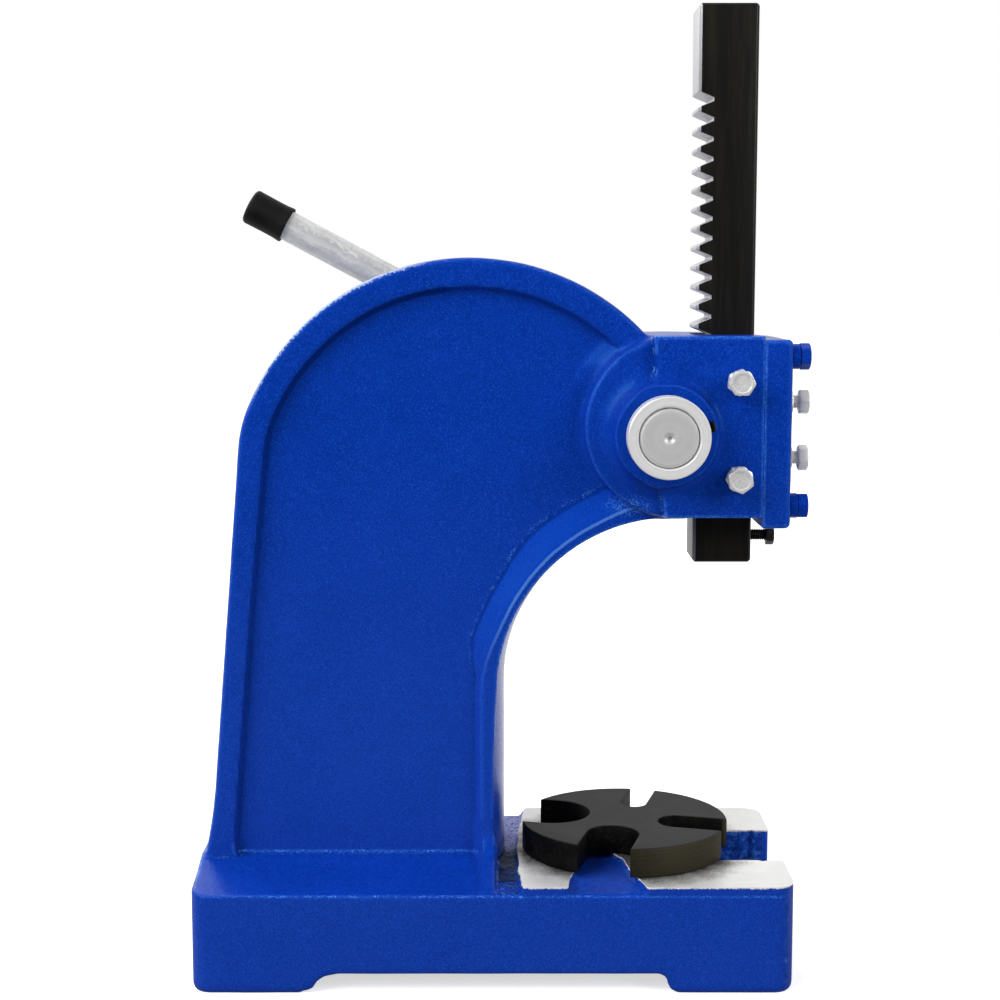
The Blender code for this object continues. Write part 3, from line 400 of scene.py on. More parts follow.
# Closed surface where a field is zero: one point in each grid cell that the surface crosses, at
# the mean of its edge crossings and then moved onto the zero, and one quad across each grid edge
def fieldSurface(field, axes):
    f = field.astype(np.float32)
    inside = f < 0
    corners = list(np.ndindex(2, 2, 2))
    window = [slice(0, n - 1) for n in f.shape]
    total = sum(inside[tuple(slice(c, c + w.stop) for c, w in zip(corner, window))].astype(np.int8)
                for corner in corners)
    active = (total > 0) & (total < 8)
    index = np.full(active.shape, -1, np.int64)
    index[active] = np.arange(active.sum())
    cells = np.argwhere(active)
    value = {c: f[cells[:, 0] + c[0], cells[:, 1] + c[1], cells[:, 2] + c[2]] for c in corners}
    place = np.zeros((len(cells), 3))
    crossings = np.zeros(len(cells))
    for a in corners:
        for axis in range(3):
            if a[axis]:
                continue
            b = tuple(1 if i == axis else a[i] for i in range(3))
            cut = (value[a] < 0) != (value[b] < 0)
            point = np.tile(np.array(a, float), (len(cells), 1))
            point[:, axis] = np.where(cut, value[a] / np.where(cut, value[a] - value[b], 1), 0)
            place += np.where(cut[:, None], point, 0)
            crossings += cut
    place /= crossings[:, None]
    for _ in range(3):
        level = 0
        slope = np.zeros_like(place)
        for corner in corners:
            weights = [place[:, i] if corner[i] else 1 - place[:, i] for i in range(3)]
            level = level + value[corner] * weights[0] * weights[1] * weights[2]
            for i in range(3):
                sign = 1 if corner[i] else -1
                slope[:, i] += value[corner] * sign * weights[i - 2] * weights[i - 1]
        step = level / np.maximum((slope ** 2).sum(axis=1), 1e-9)
        place = np.clip(place - step[:, None] * slope, 0, 1)
    points = np.empty_like(place)
    for i, axis in enumerate(axes):
        low = axis[cells[:, i]]
        points[:, i] = low + place[:, i] * (axis[cells[:, i] + 1] - low)
    faces = []
    for axis in range(3):
        second, third = (axis + 1) % 3, (axis + 2) % 3
        near = tuple(slice(0, -1) if i == axis else slice(1, -1) for i in range(3))
        far = tuple(slice(1, None) if i == axis else slice(1, -1) for i in range(3))
        for out, grid in ((1, inside[near] & ~inside[far]), (0, ~inside[near] & inside[far])):
            base = np.argwhere(grid)
            base[:, [second, third]] += 1
            ring = []
            for du, dv in ((1, 1), (0, 1), (0, 0), (1, 0)):
                cell = base.copy()
                cell[:, second] -= du
                cell[:, third] -= dv
                ring.append(index[cell[:, 0], cell[:, 1], cell[:, 2]])
            faces.append(np.stack(ring if out else ring[::-1], axis=-1))
    return points, np.concatenate(faces)


def gridAxes(low, high, step):
    return [np.arange(a, b + step, step) for a, b in zip(low, high)]


# Fields are worked out on whole grids: x, y and z as arrays that broadcast
def openAxes(axes):
    return axes[0][:, None, None], axes[1][None, :, None], axes[2][None, None, :]


# Stores how the surface bends at each vertex: the field's second differences over the square of
# the grid step, summed, then read between grid points; positive on ridges, negative in hollows.
# It is left out where the rib ends and weakened along the panel's step
def markBends(mesh, field, axes):
    core = tuple(slice(1, -1) for _ in range(3))
    bend = 0
    for i, axis in enumerate(axes):
        after = tuple(slice(2, None) if k == i else slice(1, -1) for k in range(3))
        before = tuple(slice(0, -2) if k == i else slice(1, -1) for k in range(3))
        bend = bend + (field[after] + field[before] - 2 * field[core]) / (axis[1] - axis[0]) ** 2
    place = meshPlaces(mesh)
    low = []
    share = []
    for i, axis in enumerate(axes):
        spot = np.clip((place[i] - axis[1]) / (axis[1] - axis[0]), 0, bend.shape[i] - 1.001)
        low.append(spot.astype(int))
        share.append(spot - low[i])
    value = 0
    for corner in np.ndindex(2, 2, 2):
        weight = 1
        for i in range(3):
            weight = weight * (share[i] if corner[i] else 1 - share[i])
        value = value + weight * bend[tuple(low[i] + corner[i] for i in range(3))]
    x, y, z = place
    value = value * (y > -40.9) * ((np.abs(x + 102.5) > 6) | (z > 66) | (z < 46))
    value[(np.abs(panelStep(x, z)) < 2.5) & (z > 56) & (x < -20)] *= 0.3
    addMark(mesh, "bend", value)


print("stage: helpers ready")

# Blue enamel over cast iron. Besides the paint's own tones it holds painted light: light blues for
# painted highlights and glints, dark blues for painted shade, and a pale lavender and a pale
# grey-blue for painted reflections
paintLook = {
    "blue": (0.0022, 0.038, 0.385), "deepBlue": (0.0014, 0.030, 0.310),
    "speckleAndGlint": (0.014, 0.095, 0.590), "ridge": (0.085, 0.290, 0.800), "poolAndShade": (0, 0.012, 0.140),
    "wall": (0, 0.009, 0.095), "dirtAndShadow": (0.003, 0.006, 0.013), "bare": (0.74, 0.73, 0.71),
    "paintedReflection": (0.36, 0.38, 0.74), "worn": (0.30, 0.37, 0.58), "lowerTint": (0.0080, 0.044, 0.370),
    "litIncline": (0.0012, 0.050, 0.480), "ridgeLine": (0.070, 0.200, 0.620),
    "roughness": 0.30, "tint": (0.10, 0.50, 1), "specular": 0.22,
    "peelMm": 1.1, "peelHeight": 0.065, "lumpMm": 4.5, "lumpHeight": 0.080, "roughHeight": 1.3,
}


# Orange peel and sand-cast lumps, with painted highlights and glints on ridges and painted shade in
# hollows. The marked paint is the casting's, with what lies at known places: its methods come in
# painting order
class BluePaint(Finish):
    def __init__(self, name, look, lumps=1, marked=False):
        super().__init__(name, Roughness=look["roughness"], Specular_IOR_Level=look["specular"],
                         Specular_Tint=look["tint"])
        self.look = look
        self.peel = peel = self.noise(look["peelMm"], detail=3, rough=0.55)
        self.fine = fine = self.noise(0.62, rough=0.7)
        self.lump = lump = self.noise(look["lumpMm"], detail=3, rough=0.6)
        cloud = self.noise(34)
        bend = self.attribute("bend")
        shade = (lump * 0.55 + cloud * 0.45).between(0.36, 0.66)
        self.colour = self.mix(shade, look["deepBlue"], look["blue"])
        if marked:
            self.x, self.y, self.z = self.parts(self.moved())
            self.depth = self.y.size()
            # greyer blue further down, on faces that don't look up
            lowerTint = self.z.between(240, 110) * (0.5 + cloud * 0.6)
            self.coat(lowerTint * self.facing(2).between(0.6, 0.2), "lowerTint")
        self.coat(fine.between(0.54, 0.72) * 0.75, "speckleAndGlint")
        self.coat(fine.between(0.47, 0.28) * 0.45, "poolAndShade")
        # painted shade: darker paint in concave hollows, where the bend is negative
        self.coat(bend.between(-0.12, -0.50) * (0.25 + lump * 0.4), "poolAndShade")
        # painted highlight: lighter paint on convex ridges, where the bend is positive
        self.coat(bend.between(0.20, 0.65) * 0.55, "speckleAndGlint")
        grit = fine * 0.6 + peel * 0.5
        self.dots = grit.between(0.55, 0.64)
        # painted glints: sparkles on strongly bent places, laid on later in the ridge highlight
        # colour
        self.paintedGlint = bend.size().between(0.26, 0.75) * grit.between(0.53, 0.65) * 0.7
        self.height = (peel + fine * 0.8) * look["peelHeight"] + lump * look["lumpHeight"] * lumps
        self.rough = look["roughness"] + (peel - 0.5) * 0.22
        if marked:
            self.markSides()
            self.markBase()
        self.coat(self.paintedGlint, "ridge")
        if marked:
            self.markRoughCoat()
            self.markChipsAndEdgeReflection()
        self.cover(self.colour, self.rough, self.height)

    def coat(self, mask, tone):
        self.colour = self.mix(mask, self.colour, self.look[tone])

    # side faces: painted shade on the panel's step, and on the throat's rim a painted lighter
    # incline, a painted highlight line along its crisp ridge, painted shade at the incline's foot
    # and painted glints beyond
    def markSides(self):
        x, z, fine, lump = self.x, self.z, self.fine, self.lump
        flat = self.depth.between(20.4, 21.2) * self.depth.between(28.3, 27.2) * (z - 49).clamp()
        off = self.attribute("panelStep") - 100
        step = (off + 0.25 + (lump - 0.5) * 0.9).size().between(1.55, 0.95) * flat
        step = step * ((24 - x - z * 0.1) * 0.125).clamp() * ((z + x * 4 + 160) * -0.025).clamp()
        # painted shade: dark paint along the panel's step, stronger higher up
        self.coat(step * (0.15 + z.between(190, 260) * 0.25 + lump * 0.4), "wall")
        reach = self.attribute("ridgeReach") - 100
        share = self.attribute("ridgeShare") - 100
        side = flat * x.between(-36, -44)
        litIncline = share.between(-0.03, 0.06) * share.between(1.12, 1.04) * side
        # painted light: the throat rim's incline drawn brighter, more so higher up
        self.coat(litIncline * (0.05 + z.between(125, 160) * 0.40) * (0.65 + fine * 0.7), "litIncline")
        inner = side * z.between(100, 150) * 0.45
        # painted shade: a darker line at the foot of the incline
        self.coat((share - 1.10).size().between(0.12, 0.05) * inner, "poolAndShade")
        inner = inner * self.dots * lump.between(0.46, 0.58)
        # painted glints: light dots a little beyond the incline's foot
        self.coat((share - 1.20).size().between(0.12, 0.03) * inner, "ridge")
        line = (reach - 0.1 + (fine - 0.5) * 0.7 + (lump - 0.5) * 0.6).size().between(0.85, 0.40)
        # painted highlight: a light line along the rim's ridge
        self.coat(line * side * z.between(128, 160) * (0.55 + fine * 0.6), "ridgeLine")
        quiet = reach.size().between(7.5, 5.5) * z.between(140, 130) * (z - 46).clamp() * side
        self.paintedGlint = self.paintedGlint * (1 - quiet * 0.9) * x.between(30, 10)
        self.paintedGlint = self.paintedGlint * (1 - side * off.size().between(4, 2.5) * 0.85)

    # painted highlight lines along the crisp edges of the base's top and of the recess's foot, and
    # painted glints on crumbs where the throat's rim runs into the boss
    def markBase(self):
        x, z, depth = self.x, self.z, self.depth
        edge = (z - 42.4).size().between(0.7, 0.2) * depth.between(55.6, 56.4) * x.between(28, 20)
        foot = (z - 51).size().between(0.7, 0.2) * depth.between(24, 23) * x.between(-104, -106)
        edge = (edge + foot).clamp()
        self.coat(edge * (0.35 + self.dots * 0.4), "speckleAndGlint")
        self.coat(edge * self.dots * self.lump.between(0.38, 0.60) * 0.7, "ridge")
        across, over = x + 42, z - 204
        crumbs = (across * across * 0.5 + over * over * 2).root().between(8, 4) * self.dots
        self.coat(crumbs * depth.between(20, 21) * 0.6, "ridge")

    # dirty, lumpy coat in the slot, in the valley and between the column and the pads, with painted
    # glints on its crumbs, a painted pale reflection on the far side of the gap, and soot with
    # painted shadow on its near side
    def markRoughCoat(self):
        x, y, z = self.x, self.y, self.z
        self.crumb = crumb = self.noise(3.2, detail=5, rough=0.72)
        zone = ((56.2 - self.depth) * 0.8).clamp() * ((x + 97.5) * 0.7).clamp()
        zone = zone * ((26 - x) * 0.5).clamp() * ((z - 2) * 0.3).clamp() * ((47.6 - z) * 2).clamp()
        gap = zone * (x + crumb * 6).between(-79, -85)
        valley = x.between(-76, -70) * x.between(-22, -30)
        self.height = self.height + zone * (1 - valley * 0.7) * crumb * self.look["roughHeight"]
        self.rough = self.rough + zone * 0.22
        zone = zone * (1 - valley * 0.8)
        # painted glints: light crumbs in the highlight colour
        self.coat(zone * crumb.between(0.52, 0.68) * 0.6, "ridge")
        far = y + crumb * 24
        # painted reflection: pale lavender on the far side of the gap between column and pads
        self.coat(gap * far.between(4, 12) * 0.95, "paintedReflection")
        self.coat(zone * (1 - gap) * crumb.between(0.47, 0.35) * 0.85, "dirtAndShadow")
        speck = self.noise(1.5, rough=0.6).between(0.54, 0.57) * crumb.between(0.44, 0.48)
        self.coat(gap * speck, "dirtAndShadow")
        # soot with painted shadow: darker on the gap's near side
        sootAndShadow = far.between(14, 2) * (y + 44).clamp() * (x + crumb * 8).between(-79, -88)
        self.coat(gap * sootAndShadow * (0.55 + crumb * 0.5), "dirtAndShadow")

    # chipped along the machined tops, a painted pale reflection along the arch's upper edge, and
    # smoother on the throat's inner face, which mirrors the white behind it
    def markChipsAndEdgeReflection(self):
        x, z, fine = self.x, self.z, self.fine
        chip = (z + fine * 1.5 + self.crumb * 1.2).between(47.1, 47.5)
        self.coat(chip * (x + 91).clamp() * (60 - z).clamp(), "bare")
        left, up = x - archCentre[0], z - archCentre[1]
        reach = (left * left + up * up).root()
        jagged = (fine - 0.5) * 2.4 + (self.peel - 0.5) * 3.4 + (self.lump - 0.5) * 1.6
        worn = (reach + jagged).between(101, 101.3)
        worn = worn * ((up * 0.788 - left * 0.616) / reach).between(0.87, 0.93)
        # painted reflection: a pale jagged strip along the arch's upper-left edge, in the worn tone
        self.coat(worn * self.depth.between(20, 23), "worn")
        inner = x.between(-99, -97) * self.depth.between(24.5, 22.5) * z.between(50, 60)
        self.rough = self.rough - inner * z.between(165, 140) * x.between(-60, -80) * 0.16


# Ground cast iron: scratches one way, cross marks, and dark dust with painted contact shadow where
# the plate rests
def machinedIron(name, bright, dull, dustAndShadowTone, roughness=0.36):
    finish = Finish(name, Metallic=0.35, Roughness=roughness)
    place = finish.moved(turn=(0, 0, math.radians(8)), scale=(0.05, 1.6, 0.05))
    lines = finish.noise(1, place, detail=3, rough=0.6)
    cross = finish.noise(1, finish.moved(turn=(0, 0, math.radians(-35)), scale=(0.06, 2.2, 0.06)))
    cloud = finish.noise(9, detail=3)
    grit = finish.noise(0.7, detail=3, rough=0.7)
    worn = (lines * 0.5 + cross * 0.25 + cloud * 0.35).between(0.38, 0.70)
    x, y, z = finish.parts(finish.moved((*plateCentre, 46.5)))
    distance = (x * x + y * y).root() + (cloud - 0.5) * 14 + (grit - 0.5) * 16
    # dust and painted shadow: darker towards the plate's edge
    dustAndShadow = distance.between(59, 45) * (0.55 + lines * 0.9)
    colour = finish.mix(dustAndShadow.clamp() * 0.95, finish.mix(worn, dull, bright), dustAndShadowTone)
    return finish.cover(colour, roughness + (lines - 0.5) * 0.25 + dustAndShadow * 0.2,
                        lines * 0.006 + cross * 0.004)


castingFinish = BluePaint("castingPaint", paintLook, marked=True)
hardwarePaint = BluePaint("hardwarePaint", paintLook, lumps=0.35)
machinedFinish = machinedIron("machinedIron", (0.84, 0.84, 0.82), (0.73, 0.72, 0.70),
                              (0.040, 0.038, 0.034))
print("stage: paint ready")

# The cast frame
casting = {
    "step": 1.05, "depthStep": 1.3, "triangles": 186000, "waves": 0.035,
    "outerRound": 3.6, "ridgeRound": 1.2, "recessRound": 0.08, "wallRun": 1.8,
    "columnHalf": 26, "webHalf": 21.5, "rimFall": 0.04, "backLean": math.radians(4.81),
    "ridgeLine": [(-104.1, 30), (-104.1, 129), (-102.4, 136.5), (-98.2, 145.7), (-94.6, 154.4),
                  (-89.9, 163.1), (-84.4, 171.8), (-76.7, 180.5), (-66.9, 189), (-51.4, 198),
                  (-36, 204.5), (-20, 207)],
    "slopeAcross": (0, 21.5, 26, 34, 57), "slopeTop": (50.4, 50.0, 49.0, 46.7, 42.7),
    "rib": (-105.2, -98.6, 5), "baseEdgeRound": 1.1, "footFillet": 1.3,
    "valleyZ": 44.6, "slotRound": 1.6, "bossFillet": (5, 12), "padFillet": 3.8, "lumps": 0.32,
}


# X of the straight back edge at height z, moved in by the inset
def backLine(z, inset):
    lean = casting["backLean"]
    return -219.9 + (z - 84) * math.tan(lean) + inset / math.cos(lean)


# Side view of column and arch, moved in by the inset: foot flare, back line, shoulder, arch
def archOutline(inset, footZ):
    lean = casting["backLean"]
    out = np.array([-math.cos(lean), math.sin(lean)])
    centre = np.array(archCentre)
    across = (np.array([backLine(84, 0), 84]) - centre) @ out - 60
    rise = math.sqrt(42.2 ** 2 - across ** 2)
    shoulder = centre + out * across + np.array([out[1], -out[0]]) * rise
    joint = math.degrees(math.atan2(shoulder[1] - centre[1], shoulder[0] - centre[0]))
    if inset:
        points = [(backLine(footZ, inset), footZ)]
    else:
        share = np.linspace(1, 0.1, 10)
        height = 84 - share * 38
        points = [(-227.6, footZ)] + list(zip(backLine(height, 0) - 3 * share ** 2.2, height))
    points += arcPoints(shoulder, 60 - inset, 180 - math.degrees(lean), joint, 8)[:-1]
    return points + arcPoints(archCentre, 102.2 - inset, joint, 41.5, 60)


# Distance from the middle of the panel's sloped step, which lies further in on the arch: the
# distance to the border of the recess, which has a round corner and no lower side
def panelStep(x, z):
    panel = archOutline(12.5, 40) + [(60, 261), (60, 40)]
    corner = roundedRectangle(x, z, (backLine(60, 12.5) - 1, 46.5), (200, 400), 10)
    border = smoothMax(outlineDistance(x, z, panel), corner, 2)
    return border + np.interp(z, (160, 270), (-1, 1)) - casting["wallRun"] / 2


# The ridge's measured corners, taken every 3 mm and rounded by a running mean
def ridgeCurve():
    corners = np.array(casting["ridgeLine"])
    run = np.concatenate([[0], np.cumsum(np.linalg.norm(np.diff(corners, axis=0), axis=1))])
    places = np.arange(0, run[-1], 3)
    line = np.stack([np.interp(places, run, corners[:, i]) for i in (0, 1)], axis=-1)
    padded = np.pad(line, ((3, 3), (0, 0)), mode="reflect", reflect_type="odd")
    return (sum(padded[i:i + len(line)] for i in range(7)) / 7).tolist()


# Distance to the ridge of the throat's rim and the breadth of the incline beside it
def ridgeReach(x, z):
    reach = outlineDistance(x, z, ridgeCurve() + [(60, 207), (60, 30)])
    return reach, np.interp(z, [50, 129, 137, 146, 172, 190], [3.2, 3.4, 6, 8.4, 9, 11])


# Column and arch: the side view, the crowned throat and the half thickness with its recess
def columnField(x, ay, z, padEdge):
    c = casting
    lean = np.clip(ay / 24, 0, 1) ** 2
    throatX = -21.6 - 1.3 * lean * np.clip((124 - z) / 30, 0, 1)
    throatZ = 124 - 1.6 * lean
    outer = outlineDistance(x, z, archOutline(0, 40) + [(-16.5, 274), (-16.5, 40)])
    throat = (72.8 + 3.3 * lean
              - np.sqrt(np.minimum(x - throatX, 0) ** 2 + np.maximum(z - throatZ, 0) ** 2))
    wall = np.clip(panelStep(x, z) / c["wallRun"] + 0.5, -1, 2)
    rimReach, rimSpan = ridgeReach(x, z)
    rim = np.interp(rimReach / rimSpan, (0, 1, 1.12, 3.2), (1, 0.12, 0, -1))
    fade = np.clip(1 - padEdge / 10, 0, 1) * np.clip((z - 250) / 14, 0, 1)
    ramp = smoothMax(np.maximum(wall, fade), rim, 0.1)
    ramp = smoothMax(smoothMin(ramp, 1, c["recessRound"] * 2), 0, c["recessRound"] * 2)
    half = (c["webHalf"] + (c["columnHalf"] - c["webHalf"]) * ramp
            + c["rimFall"] * np.clip(rimReach, -9, 0))
    column = smoothMax(outer, ay - c["columnHalf"], c["outerRound"])
    column = smoothMax(column, throat, c["ridgeRound"])
    return smoothMax(column, (ay - half) * 0.75, 0.8)


# Base: block with a sloped top that ends in a low rib, rough ground behind it, raised pads with
# a wavy border, valley, slot, foot arch and hollow
def baseField(x, y, ay, z):
    c = casting
    plan = roundedRectangle(x, y, (-227, -57), (28, 57), 8.5)
    ribStart, ribEnd, ribHeight = c["rib"]
    rib = np.interp((x - ribStart) / (ribEnd - ribStart), (0, 0.12, 0.22, 1), (0, 0.7, 1, 1))
    ground = c["valleyZ"] - 0.10 * np.maximum(ay - 40, 0)
    top = np.interp(ay, c["slopeAcross"], c["slopeTop"])
    top = top + ribHeight * rib * np.interp(ay, (26, 57), (1, 0.12))
    top = top + (ground - top) * np.clip(x - ribEnd, 0, 1)
    border = np.interp(y, (-57, -30, 0, 30, 57), (-86.7, -87.8, -88.4, -87, -84.3))
    border = border + 0.3 * np.sin(y * 0.21) + 0.12 * np.sin(y * 0.9 + 1)
    top = np.maximum(top, np.clip(46.5 + (x - border) * 1.6, 0, 49.5))
    base = smoothMax(plan, (z - top) * 0.96, c["baseEdgeRound"])
    valley = np.interp(ay, [0, 12, 20, 38, 46, 57, 62], [4.5, 6.5, 10.5, 13, 15, 16.6, 16.9])
    middle = np.interp(ay, [0, 38, 57], [-52, -52.4, -51])
    base = smoothMax(base, -smoothMax(np.abs(x - middle) - valley, ground - z, 2.4), 1.4)
    slot = np.sqrt(np.minimum(x + 0.5, 0) ** 2 + y ** 2) - 21.5
    groove = np.sqrt((x - 19) ** 2 + (ay - 21.3) ** 2) - 1.3
    base = smoothMax(base, -smoothMin(slot, groove, 0.8), c["slotRound"])
    share = np.array([(0, 0), (0.2, 0.17), (0.36, 0.6), (0.58, 0.86), (1, 1)])
    foot = ([(-178.6, -30)] + [(-178.6 + 14 * a, 8.2 * b) for a, b in share]
            + [(-23.4 - 5.5 * a, 8.2 * b) for a, b in share[::-1]] + [(-23.4, -30)])
    base = smoothMax(base, -outlineDistance(x, z, foot), 2.2)
    hollow = roundedRectangle(x, y, (-213.5, -43.5), (-64, 43.5), 8) - 0.06 * (30 - z)
    base = smoothMax(base, -smoothMax(hollow, z - 30, 5), 2.5)
    return smoothMax(base, -0.6 - z, 4)


# The whole casting: column, head with round-backed pad, block and bosses, and base, joined with
# fillets, then slow waves and the rough patches between column and pads, in valley and slot
def castingField(x, y, z):
    c = casting
    ay = np.abs(y)
    padEdge = np.sqrt((x + 22.4) ** 2 + (z - 237.65) ** 2) - 38.1
    column = columnField(x, ay, z, padEdge)
    shaft = np.sqrt((x - pinionAxis[0]) ** 2 + (z - pinionAxis[1]) ** 2)
    pad = smoothMax(smoothMax(padEdge, ay - 30, 2.4), x - 12, 1)
    block = outlineDistance(x, z, [(-32, 276), (-27, 199.3), (14.9, 199.3), (14.9, 276)])
    nearBoss = np.maximum(smoothMax(shaft - 21.6, -41.4 - y, 2.6), y)
    farBoss = np.maximum(smoothMax(shaft - 26.5, y - 43.4, 1.8), -y)
    head = smoothMin(pad, smoothMax(block, ay - 34, 1.1), 1)
    body = smoothMin(column, head, c["padFillet"])
    least, most = c["bossFillet"]
    body = smoothMin(body, nearBoss, least + (most - least) * np.clip((-22 - x) / 18, 0, 1))
    body = smoothMin(body, farBoss, least)
    blend = 1.5 + (c["footFillet"] - 1.5) * np.clip((x + 224) / 12, 0, 1)
    blend = blend + 7 * np.clip((x + 105.5) / 1.5, 0, 1) * np.clip((ay - 22.5) / 3, 0, 1)
    body = smoothMin(body, baseField(x, y, ay, z), blend)
    body = body + c["waves"] * castWaves(x, y, z, 24, 9, 4)
    right = int(np.searchsorted(x.ravel(), -100))
    under = int(np.searchsorted(z.ravel(), 52))
    x, z = x[right:], z[:, :, :under]
    patch = (np.clip((x + 97) / 3, 0, 1) * np.clip((24 - x) / 3, 0, 1)
             * np.clip((55 - ay) / 3, 0, 1) * np.clip(z / 4, 0, 1)
             * (1 - 0.7 * np.clip((x + 76) / 6, 0, 1) * np.clip((-22 - x) / 8, 0, 1)))
    body[right:, :, :under] += c["lumps"] * patch * castWaves(x, y, z, 7, 14, 9)
    return body


# The field's surface, thinned, then every machined flat and bore cut with crisp edges
def makeCasting():
    axes = gridAxes((-231, -61, -5), (32, 61, 313), casting["step"])
    axes[1] = np.arange(-61, 61, casting["depthStep"]) + casting["depthStep"] / 2
    axes = [axis.astype(np.float32) for axis in axes]
    field = castingField(*openAxes(axes))
    points, faces = fieldSurface(field, axes)
    item = addPiece("castFrame", makeMesh("castFrame", points, faces),
                    [castingFinish, machinedFinish], "press_body", ["frame_casting"])
    thinOut(item, casting["triangles"])
    print("stage: casting field", len(faces), "quads")
    flats = cutterMesh("flats", boxParts((-91.5, -70, 46.5), (40, 70, 60)),
                       boxParts((-240, -70, -20), (40, 70, 0)),
                       boxParts((-60, 43, 190), (0, 70, 280)),
                       boxParts((-13, -16.3, 187), (50, 13, 320)))
    seat = cutterMesh("seat", boxParts((-60, -70, 190), (10, -41, 280)), slot=0)
    front = cutterMesh("front", boxParts((14.4, -70, 187), (60, 70, 290)))
    x, z = pinionAxis
    bores = cutterMesh("bores", drillParts(20, (x, -13.4, z), (x, 60, z), 96),
                       *[drillParts(3.3, (3.8, -60, height), (3.8, -14, height), 32)
                         for height in sideScrewHeights])
    journal = cutterMesh("journal", drillParts(12.6, (x, -60, z), (x, -9, z), 80),
                         *[drillParts(3.3, (-1.9, y, height), (30, y, height), 32)
                           for y, height in coverBoltPlaces],
                         drillParts(6.3, (*plateCentre, 27.5), (*plateCentre, 60), 48))
    cutAway(item, flats, seat, front, bores, journal)
    softEdges(item.data, 38)
    markBends(item.data, field, axes)
    x, y, z = meshPlaces(item.data)
    reach, span = ridgeReach(x, z)
    marks = {"panelStep": panelStep(x, z), "ridgeReach": reach, "ridgeShare": reach / span}
    for name, value in marks.items():       # plus 100: pieces without the attribute read 0
        addMark(item.data, name, np.clip(value, -30, 30) + 100)
    flattenShading(item)
    used = np.empty(len(item.data.polygons), np.int32)
    item.data.polygons.foreach_get("material_index", used)
    print("stage: casting cut,", len(used), "faces,", int((used == 1).sum()), "machined")


makeCasting()


def grey(value):
    return (value, value, value)


# Bare or plated steel: fine scratches, slow clouds and small dents
def plainSteel(name, bright, dull, roughness, scratch=(0.1, 1.4, 1.4), metallic=0.3):
    finish = Finish(name, Metallic=metallic, Roughness=roughness)
    cloud = finish.noise(5, detail=3, rough=0.6)
    grain = finish.noise(0.8, rough=0.6)
    lines = finish.noise(1, finish.moved(scale=scratch), rough=0.6)
    worn = (cloud * 0.6 + lines * 0.3 + grain * 0.2).between(0.40, 0.68)
    return finish.cover(finish.mix(worn, dull, bright), roughness + (grain - 0.5) * 0.25,
                        (grain + lines) * 0.001)


# Turned steel: tool rings about the shaft's axis, from the distance to it and the place along it
def turnedSteel(name, bright, dull, roughness):
    finish = Finish(name, Metallic=0.3, Roughness=roughness)
    x, y, z = finish.parts(finish.moved(collarCentre))
    place = finish.add("ShaderNodeCombineXYZ", {}, {"X": (x * x + z * z).root(), "Y": y})
    rings = finish.noise(0.9, place, rough=0.7)
    bands = finish.noise(3.6, place)
    cloud = finish.noise(4, detail=3, rough=0.6)
    worn = (rings * 0.45 + bands * 0.35 + cloud * 0.20).between(0.30, 0.72)
    return finish.cover(finish.mix(worn, dull, bright),
                        roughness + (rings - 0.5) * 0.2 + (cloud - 0.5) * 0.15, rings * 0.004)


# Blackened ram: fine scratches down the bar, brown where the black has worn thin, and a painted
# light grey reflection on the side with the teeth, stronger higher up
def blackRam(name):
    finish = Finish(name, Metallic=0.35, Roughness=0.34)
    lines = finish.noise(1, finish.moved(scale=(1.6, 1.6, 0.035)), detail=4, rough=0.65)
    broad = finish.noise(1, finish.moved(scale=(0.30, 0.30, 0.018)), detail=3, rough=0.6)
    spots = finish.noise(0.7)
    brown = finish.mix(broad.between(0.48, 0.78), (0.0065, 0.0062, 0.0055), (0.020, 0.016, 0.009))
    colour = finish.mix(lines.between(0.60, 0.80) * 0.40, brown, (0.060, 0.052, 0.036))
    height = finish.parts(finish.moved())[2]
    # painted reflection: the side facing the pinion drawn light grey
    sideReflection = finish.facing(0).between(-0.12, -0.35) * (0.35 + height.between(212, 222) * 0.65)
    bright = finish.mix(spots, (0.34, 0.34, 0.36), (0.50, 0.50, 0.51))
    return finish.cover(finish.mix(sideReflection, colour, bright),
                        0.32 + lines * 0.20 + (spots - 0.5) * 0.12 - sideReflection * 0.05,
                        lines * 0.008 + spots * 0.003)


# Blackened plate: tool rings on its top, brown-black rim with lines round it
def blackPlate(name):
    finish = Finish(name, Roughness=0.42, Specular_IOR_Level=0.09)
    centre = (*plateCentre, 46.8)
    x, y, z = finish.parts(finish.moved(centre))
    distance = (x * x + y * y).root()
    ringPlace = finish.add("ShaderNodeCombineXYZ", {}, {"X": distance, "Y": z})
    rings = finish.noise(0.5, ringPlace, detail=3, rough=0.7)
    grain = finish.noise(1.1, detail=4, rough=0.65)
    cloud = finish.noise(14, detail=3)
    side = finish.mix(cloud.between(0.4, 0.65), (0.0008, 0.0008, 0.0007), (0.0040, 0.0038, 0.0032))
    face = finish.mix(cloud.between(0.35, 0.65), (0.014, 0.014, 0.0135), (0.020, 0.020, 0.019))
    worn = (x + cloud * 16).between(-4, 22) * finish.facing(1).between(-0.1, -0.5)
    lines = finish.noise(1, finish.moved(centre, scale=(0.05, 0.05, 2.4)))
    worn = worn * distance.between(43.5, 45.2) * (0.45 + lines)
    side = finish.mix(worn, side, (0.040, 0.036, 0.021))
    colour = finish.mix(finish.facing(2).between(0.6, 0.95), side, face)
    return finish.cover(finish.mix(grain.between(0.55, 0.80) * 0.3, colour, (0.072, 0.070, 0.062)),
                        0.44 + rings * 0.16 + (grain - 0.5) * 0.2, rings * 0.008 + grain * 0.010)


